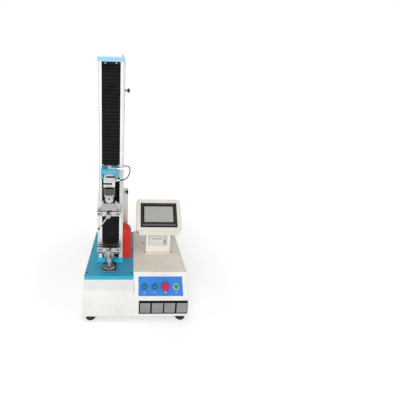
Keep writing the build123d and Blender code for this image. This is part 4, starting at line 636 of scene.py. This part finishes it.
# Painted shade: black plates put in the cell's slots, where there is only shade.
slot_shade_finish = surface("slot_shade_finish", (0.012, 0.012, 0.013, 1.0), 0.7, shine=0.1, edge=0.0)
slot_places = [(cell_high[0] - CELL_SLOT[0] / 2, cell_high[2] - SLOT_INSET),
               (cell_low[0] + CELL_SLOT[0] / 2, cell_low[2] + SLOT_INSET)]
shade_depth = cell_high[1] - cell_low[1] - SHADE_BACK
shade_cores = [front_plate(CELL_SLOT, SHADE_CORNER, CORE_RISE, cell_low[1], place, sink=shade_depth)
              for place in slot_places]
shade_lips = [front_plate(SHADE_LIP, SHADE_CORNER, LIP_RISE, cell_low[1], place)
             for place in slot_places]
loft("slot_shade_plates", shade_cores + shade_lips, slot_shade_finish, "crosshead")
foil_pale = surface("foil_pale", (0.60, 0.57, 0.575, 1.0), 0.4, depth=0.00001)
foil = front_plate(CELL_FOIL, FOIL_CORNER, FOIL_RISE, cell_low[1], cell_middle[[0, 2]])
loft("cell_foil", [foil], foil_pale, "crosshead")

# Load cell cable: black rubber-sheathed lead, 5.5 mm thick. It leaves the gland, makes one open
# loop beside the column and goes in through the column's side slot. It rides on the crosshead.
CABLE_DIAMETER = 0.0055
CABLE_POINTS = (
    (-0.0835, -0.124, 0.639),
    (-0.060, -0.124, 0.639),
    (-0.038, -0.104, 0.662),
    (-0.038, -0.072, 0.690),
    (-0.058, -0.028, 0.684),
    (-0.088, -0.028, 0.684),
)
cable_curve = bpy.data.curves.new("load_cell_lead", "CURVE")
cable_curve.dimensions = "3D"
cable_curve.bevel_depth = CABLE_DIAMETER / 2
cable_curve.bevel_resolution = 5
cable_curve.resolution_u = 24
cable_curve.use_fill_caps = True
cable_spline = cable_curve.splines.new("NURBS")
cable_spline.points.add(len(CABLE_POINTS) - 1)
weighted_points = np.column_stack([CABLE_POINTS, np.ones(len(CABLE_POINTS))])
cable_spline.points.foreach_set("co", weighted_points.ravel())
cable_spline.order_u = 3
cable_spline.use_endpoint_u = True
cable = bpy.data.objects.new("load_cell_lead", cable_curve)
scene.collection.objects.link(cable)
sheath_rubber = surface("sheath_rubber", (0.014, 0.014, 0.015, 1.0), 0.55, shine=0.15,
                        depth=0.00005, edge=0.0)
cable_curve.materials.append(sheath_rubber)
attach(cable, "crosshead")
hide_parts("load_cell_cable")

# Lock rings: turned steel, diamond knurled between two plain rims. Each is turned by hand and
# locks one grip on its adapter. Both rings are the same steel in a shaded and a lit copy of its
# finish, painted for the dark reflections on the upper ring and the light on the lower one.
KNURL_COUNT = 56
KNURL_DEPTH = 0.0006
KNURL_AROUND = 448
KNURL_UP = 64
KNURL_ANGLE = 0.5
RING_BORE = 0.0151
RIM = 0.003
RIM_STEP = 0.0003
RIM_BEVEL = 0.0008
RELIEF_DEPTH = 0.0016
RELIEF_WIDTH = 0.0008
# Painted light: one steel in a shaded copy (upper ring) and a lit copy (lower ring).
ring_shaded_copy = surface("ring_shaded_copy", (0.12, 0.12, 0.122, 1.0), 0.24, metallic=1.0, depth=0.00002,
                    edge=0.0)
ring_lit_copy = surface("ring_lit_copy", (0.34, 0.34, 0.345, 1.0), 0.24, metallic=1.0, depth=0.00002,
                      edge=0.0)


def knurled_ring(name, node, body, finish):
    """Ring whose wall is r = R - depth (|sin(k a + m z)| + |sin(k a - m z)|): two crossed sets of
    grooves. The rims and the bore are plain, and the profile closes on itself."""
    low, high = (np.array(corner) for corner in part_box(node))
    centre = (low + high) / 2
    outer = (high[0] - low[0]) / 2
    angle = np.linspace(0, 2 * np.pi, KNURL_AROUND, endpoint=False)
    level = np.linspace(low[2] + RIM, high[2] - RIM, KNURL_UP)
    lean = KNURL_COUNT / (2 * outer) * (level[:, None] - centre[2])
    first = np.abs(np.sin(KNURL_COUNT / 2 * angle[None] + lean))
    second = np.abs(np.sin(KNURL_COUNT / 2 * angle[None] - lean))
    wall = outer - KNURL_DEPTH * (first + second)
    rim = outer - RIM_STEP
    below = np.array([(RING_BORE, low[2]), (rim - RIM_BEVEL, low[2]), (rim, low[2] + RIM_BEVEL),
                      (rim, low[2] + RIM - RELIEF_WIDTH),
                      (outer - RELIEF_DEPTH, low[2] + RIM - RELIEF_WIDTH / 2)])
    above = below[::-1] * (1, -1) + (0, low[2] + high[2])
    above = np.concatenate([above, below[:1]])
    radius = np.concatenate([np.repeat(below[:, :1], KNURL_AROUND, 1), wall,
                             np.repeat(above[:, :1], KNURL_AROUND, 1)])
    rise = np.concatenate([below[:, 1], level, above[:, 1]])
    points = np.stack([centre[0] + radius * np.cos(angle), centre[1] + radius * np.sin(angle),
                       np.broadcast_to(rise[:, None], radius.shape)], axis=-1)
    faces = ring_faces(points.shape[0], KNURL_AROUND, cap=False)
    ring = lay_mesh(name, points, faces, finish, body, sharp=KNURL_ANGLE)
    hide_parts(node)


knurled_ring("upper_knurled_ring", "upper_lock_ring", "upper_ring", ring_shaded_copy)
knurled_ring("lower_knurled_ring", "lower_lock_ring", "lower_ring", ring_lit_copy)

# Grips: milled and ground tool steel, with toothed jaws, clamp screws and tommy bars that have one
# blackened ball end. The adapters that carry them are turned from the same steel.
PIN_BACK = -0.146
SHOULDER_REACH = 0.040
SHOULDER_PLACE = (-0.1512, 0.5085)
SHOULDER_OUT = (0.0, -0.97, 0.245)
SHOULDER_HEAD = (0.0024, 0.0014)
BALL_TOP = 0.0105
# The grip, adapter and jaw finishes get painted shade in their hollows.
grip_steel = surface("grip_steel", (0.44, 0.44, 0.447, 1.0), 0.26, metallic=1.0,
                     grain=(50, 1300, 1300), depth=0.00004, tone=0.1, tone_scale=30, hollow_shade=0.008)
turned_steel = surface("turned_steel", (0.38, 0.38, 0.385, 1.0), 0.22, metallic=1.0,
                       grain=(900, 900, 2200), depth=0.00003, hollow_shade=0.01)
dress(grip_steel, "upper_grip_body", "lower_grip_body")
jaw_dark = surface("jaw_two_tone", (0.10, 0.10, 0.102, 1.0), 0.3, metallic=1.0, hollow_shade=0.01)
jaw_steel = two_tone(jaw_dark, (0.42, 0.42, 0.425, 1.0), "Y", PIN_BACK)
dress(jaw_steel, "upper_jaw", "lower_jaw")
dress(turned_steel, "upper_adapter", "lower_adapter", "upper_clamp_screw", "lower_clamp_screw")
grip_low, grip_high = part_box("upper_grip_body")
grip_middle = (grip_low[0] + grip_high[0]) / 2
shoulder_seats = [(grip_middle + side * SHOULDER_REACH, *SHOULDER_PLACE) for side in (-1, 1)]
loft("shoulder_screws",
     [socket_screw(seat, SHOULDER_OUT, *SHOULDER_HEAD) for seat in shoulder_seats],
     black_screw, "crosshead")
for bar in ("upper_tommy_bar", "lower_tommy_bar"):
    ball_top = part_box(bar)[0][2] + BALL_TOP
    bar_dark = surface(bar + "_finish", (0.06, 0.06, 0.062, 1.0), 0.22, metallic=1.0, depth=0.00002)
    dress(two_tone(bar_dark, (0.44, 0.44, 0.445, 1.0), "Z", ball_top), bar)

# Limit knobs: fluted black mouldings on light turned spacers, screwed in from the column's right.
# Each clamps a collar on the limit rod, wherever the crosshead is to stop.
SPACER_END = -0.0612
spacer_light = surface("knob_two_tone", (0.55, 0.54, 0.52, 1.0), 0.4)
knob_black = two_tone(spacer_light, (0.02, 0.02, 0.022, 1.0), "X", SPACER_END)
dress(knob_black, "upper_limit_knob", "lower_limit_knob")

# Control panel: aluminium plate with a printed blue overlay, held by four screws on the slope.
# Under the buttons stand plain signs for up, down, stop and power.
SLOPE_ORIGIN = np.array((0.0, -0.227, 0.1175))
SLOPE_ACROSS = np.array((1.0, 0.0, 0.0))
SLOPE_UP = np.array((0.0, 0.59478, 0.80388))
SLOPE_OUT = np.cross(SLOPE_ACROSS, SLOPE_UP)
PANEL_FACE = 0.002
PANEL_LEFT, PANEL_RIGHT, PANEL_LOW, PANEL_HIGH = 0.011, 0.215, 0.009, 0.088
SCREW_INSET = 0.005
PANEL_HEAD = (0.0027, 0.0016)
SIGN_ROW = 0.0235
SIGN_SIZE = 0.0065
SIGN_RISE = 0.00025
SIGN_SINK = 0.0003
SIGN_ANGLE = 0.3
POWER_ARC = (130, 410)
POWER_INNER = 0.72
UP_X, DOWN_X, STOP_X, POWER_X = 0.037, 0.0845, 0.1345, 0.184


def on_slope(flat, rise):
    """Points (u, v) of a sketch set on the sloped front, at a rise over the casing's paint."""
    return on_plane(np.asarray(flat, float), SLOPE_ORIGIN, SLOPE_ACROSS, SLOPE_UP, rise)


def sign(flat):
    """Flat printed sign: an outline (u, v), sunk a little into the panel and SIGN_RISE proud."""
    return np.stack([on_slope(flat, PANEL_FACE - SIGN_SINK),
                     on_slope(flat, PANEL_FACE + SIGN_RISE)])


panel_blue = surface("panel_blue", (0.05, 0.235, 0.68, 1.0), 0.4, shine=0.15,
                     grain=(1600, 1600, 1600), depth=0.00002, tone=0.05)
dress(panel_blue, "control_panel")
panel_seats = on_slope([(u, v) for u in (PANEL_LEFT + SCREW_INSET, PANEL_RIGHT - SCREW_INSET)
                        for v in (PANEL_LOW + SCREW_INSET, PANEL_HIGH - SCREW_INSET)], PANEL_FACE)
panel_screw = surface("panel_screw", (0.10, 0.11, 0.14, 1.0), 0.3, metallic=0.9, depth=0.00002)
loft("panel_screws", [socket_screw(seat, SLOPE_OUT, *PANEL_HEAD) for seat in panel_seats],
     panel_screw, "base")
sign_white = surface("sign_white", (0.86, 0.87, 0.88, 1.0), 0.4, depth=0.00001, edge=0.0)
half_sign = SIGN_SIZE / 2
arrow = np.array([(-1.0, -0.75), (1.0, -0.75), (0.0, 0.85)]) * half_sign
square = np.array([(-0.8, -0.8), (0.8, -0.8), (0.8, 0.8), (-0.8, 0.8)]) * half_sign
arc_angle = np.radians(np.linspace(*POWER_ARC, 25))
arc = np.stack([np.cos(arc_angle), np.sin(arc_angle)], axis=-1)
power_arc = np.concatenate([arc, arc[::-1] * POWER_INNER]) * half_sign
power_bar = np.array([(-0.13, 0.1), (0.13, 0.1), (0.13, 1.15), (-0.13, 1.15)]) * half_sign
loft("panel_signs", [
    sign(arrow + (UP_X, SIGN_ROW)),
    sign(-arrow + (DOWN_X, SIGN_ROW)),
    sign(square + (STOP_X, SIGN_ROW)),
    sign(power_arc + (POWER_X, SIGN_ROW)),
    sign(power_bar + (POWER_X, SIGN_ROW)),
], sign_white, "base", sharp=SIGN_ANGLE)

# Push buttons: glossy moulded caps, two dark ones with green lenses, one red mushroom and one
# green in a bright bezel with a dark gasket. Each is pressed into its housing, which is clamped
# in the panel.
BUTTON_ROW = 0.046
CAP_TOP = 0.0085
LENS_RADIUS = 0.0072
POWER_RADIUS = 0.0112
LENS_CROWN = 0.0011
LENS_SINK = 0.0004
LENS_END = 88
LENS_RINGS = 9
LENS_POINTS = 40
GASKET_RADIUS = 0.0152
GASKET_BORE = 0.0130
GASKET_RISE = 0.0005
GASKET_SINK = 0.0003
BRIGHT_BEZEL = 0.160
cap_green = surface("cap_green", (0.006, 0.30, 0.19, 1.0), 0.25, depth=0.00002)
cap_red = surface("cap_red", (0.50, 0.026, 0.075, 1.0), 0.28, depth=0.00002)
cap_dark = surface("cap_dark", (0.012, 0.032, 0.05, 1.0), 0.3, depth=0.00002)
bezel_blue = surface("bezel_two_tone", (0.035, 0.16, 0.44, 1.0), 0.35)
bezel_finish = two_tone(bezel_blue, (0.80, 0.80, 0.79, 1.0), "X", BRIGHT_BEZEL)
dress(cap_green, "power_button")
dress(cap_dark, "up_button", "down_button")
dress(cap_red, "stop_button")
dress(bezel_finish, "button_housings")
lens_angle = np.linspace(0, 2 * np.pi, LENS_POINTS, endpoint=False)
unit_circle = np.stack([np.cos(lens_angle), np.sin(lens_angle)], axis=-1)


def lens_dome(middle, radius):
    """Stack of rings of a lens: circles of radius R cos(t) at the height crown sin(t) over the
    cap, with t from 0 to LENS_END degrees, on a short straight side that is sunk into the cap."""
    climb = np.radians(np.linspace(0, LENS_END, LENS_RINGS))
    levels = [(1.0, -LENS_SINK), *zip(np.cos(climb), LENS_CROWN * np.sin(climb))]
    return np.stack([on_slope(unit_circle * radius * share + middle, CAP_TOP + level)
                     for share, level in levels])


for button, button_x, radius in (("up", UP_X, LENS_RADIUS), ("down", DOWN_X, LENS_RADIUS),
                                 ("power", POWER_X, POWER_RADIUS)):
    loft(button + "_lens", [lens_dome((button_x, BUTTON_ROW), radius)], cap_green,
         button + "_button")


def flat_ring(outer, inner, low, high, origin, across, upward):
    """Closed ring of rectangular section between two outlines (u, v) of as many points: outer
    low, outer high, inner high and inner low, joined all round."""
    return np.stack([on_plane(flat, origin, across, upward, level) for flat, level in (
        (outer, low), (outer, high), (inner, high), (inner, low), (outer, low))])


power_middle = np.array((POWER_X, BUTTON_ROW))
gasket = flat_ring(unit_circle * GASKET_RADIUS + power_middle,
                   unit_circle * GASKET_BORE + power_middle, PANEL_FACE - GASKET_SINK,
                   PANEL_FACE + GASKET_RISE, SLOPE_ORIGIN, SLOPE_ACROSS, SLOPE_UP)
lay_mesh("power_gasket", gasket, ring_faces(*gasket.shape[:2], cap=False), cap_dark, "base")

# Display: black moulded frame with a satin inner border and a grey touch film behind it, set in
# the white sheet housing on its pedestal. The border's lower band is plain, and four screws hold
# the back.
DISPLAY_ORIGIN = np.array((0.1175, -0.040, 0.345))
DISPLAY_TILT = np.radians(35.0)
DISPLAY_ACROSS = np.array((1.0, 0.0, 0.0))
DISPLAY_UP = np.array((0.0, np.sin(DISPLAY_TILT), np.cos(DISPLAY_TILT)))
DISPLAY_OUT = np.cross(DISPLAY_ACROSS, DISPLAY_UP)
DISPLAY_MIDDLE = 0.083
FRAME_FACE = 0.0025
BORDER_OUT = (0.178, 0.112)
BORDER_WIDTH = 0.0022
BORDER_RISE = 0.0005
BORDER_SINK = 0.0004
BORDER_CORNER = 0.003
BAND_SIZE = (0.170, 0.0085)
BAND_ROW = 0.0335
BAND_CORNER = 0.001
BAND_RISE = 0.0006
HOUSING_DEPTH = 0.055
BACK_SCREWS = (0.104, 0.069)
BACK_HEAD = (0.0032, 0.0014)
console_white = surface("console_white", (0.76, 0.735, 0.66, 1.0), 0.42)
pedestal_white = surface("pedestal_white", (0.86, 0.82, 0.74, 1.0), 0.42)
dress(console_white, "display_housing")
dress(pedestal_white, "display_pedestal")
screen_film = surface("screen_film", (0.40, 0.385, 0.375, 1.0), 0.35, depth=0.00001, tone=0.03,
                      tone_scale=6, edge=0.0)
frame_black = surface("frame_black", (0.0125, 0.0112, 0.0112, 1.0), 0.4, shine=0.1,
                      grain=(1400, 1400, 1400), depth=0.00004)
border_satin = surface("border_satin", (0.105, 0.096, 0.122, 1.0), 0.4, depth=0.00002)
dress(screen_film, "touch_screen")
dress(frame_black, "display_frame")
border_in = np.array(BORDER_OUT) - 2 * BORDER_WIDTH
outer_border = rounded_outline(*BORDER_OUT, BORDER_CORNER) + (0.0, DISPLAY_MIDDLE)
inner_border = rounded_outline(*border_in, BORDER_CORNER - BORDER_WIDTH) + (0.0, DISPLAY_MIDDLE)
border = flat_ring(outer_border, inner_border, FRAME_FACE - BORDER_SINK, FRAME_FACE + BORDER_RISE,
                   DISPLAY_ORIGIN, DISPLAY_ACROSS, DISPLAY_UP)
lay_mesh("display_border", border, ring_faces(*border.shape[:2], cap=False), border_satin, "base")
frame_origin = DISPLAY_ORIGIN + FRAME_FACE * DISPLAY_OUT
band = plate(BAND_SIZE, BAND_CORNER, BAND_RISE, frame_origin, DISPLAY_ACROSS, DISPLAY_UP,
             (0.0, BAND_ROW))
loft("display_band", [band], border_satin, "base")
back_middle = DISPLAY_ORIGIN + DISPLAY_MIDDLE * DISPLAY_UP - HOUSING_DEPTH * DISPLAY_OUT
back_seats = [back_middle + u * BACK_SCREWS[0] * DISPLAY_ACROSS + v * BACK_SCREWS[1] * DISPLAY_UP
              for u in (-1, 1) for v in (-1, 1)]
loft("display_screws", [socket_screw(seat, -DISPLAY_OUT, *BACK_HEAD) for seat in back_seats],
     black_screw, "base")

# Printer: moulded grey frame and door, snapped into the pedestal's front. The door has a paper
# slot, and the frame has a release lever in a recess on the right and two small lamps over it.
# The slot and the recess are drawn as flat dark plates of painted shade.
PRINTER_FACE = -0.004
DOOR_FACE = -0.0073
SLOT_SIZE = (0.0525, 0.0032)
SLOT_MIDDLE = (0.1125, 0.2852)
SLOT_CORNER = 0.0014
SLOT_RISE = 0.0004
LEVER_SIZE = (0.0066, 0.0240)
LEVER_MIDDLE = (0.1535, 0.2675)
LEVER_CORNER = 0.0032
LEVER_RISE = 0.0035
LEVER_BEVEL = 0.0012
RECESS_SIZE = (0.0095, 0.0270)
RECESS_CORNER = 0.0046
RECESS_RISE = 0.0004
LAMP_SIZE = (0.0036, 0.0036)
LAMP_MIDDLES = ((0.1515, 0.2945), (0.1635, 0.2945))
LAMP_CORNER = 0.0017
LAMP_RISE = 0.0012
LAMP_BEVEL = 0.0006
printer_grey = surface("printer_grey", (0.62, 0.60, 0.60, 1.0), 0.5, grain=(1300, 1300, 1300),
                       depth=0.00006)
door_grey = surface("door_grey", (0.70, 0.675, 0.68, 1.0), 0.48, grain=(1300, 1300, 1300),
                    depth=0.00006)
# This dark finish is painted shade on the paper slot and the lever's recess, and the lamps' own
# colour.
shade_and_lamp_dark = surface("shade_and_lamp_dark", (0.022, 0.021, 0.022, 1.0), 0.55, shine=0.1)
roll_paper = surface("roll_paper", (0.85, 0.85, 0.83, 1.0), 0.8, depth=0.00003)
lever_grey = surface("lever_grey", (0.42, 0.41, 0.41, 1.0), 0.4)
dress(printer_grey, "printer_frame")
dress(door_grey, "printer_door")
dress(roll_paper, "paper_roll")
paper_slot_shade = front_plate(SLOT_SIZE, SLOT_CORNER, SLOT_RISE, DOOR_FACE, SLOT_MIDDLE)
loft("paper_slot_shade", [paper_slot_shade], shade_and_lamp_dark, "printer_door")
recess = front_plate(RECESS_SIZE, RECESS_CORNER, RECESS_RISE, PRINTER_FACE, LEVER_MIDDLE)
loft("lever_recess_shade", [recess], shade_and_lamp_dark, "base")
lever = front_plate(LEVER_SIZE, LEVER_CORNER, LEVER_RISE, PRINTER_FACE, LEVER_MIDDLE,
                    bevel=LEVER_BEVEL)
loft("release_lever", [lever], lever_grey, "base")
lamps = [front_plate(LAMP_SIZE, LAMP_CORNER, LAMP_RISE, PRINTER_FACE, middle, bevel=LAMP_BEVEL)
         for middle in LAMP_MIDDLES]
loft("printer_lamps", lamps, shade_and_lamp_dark, "base")
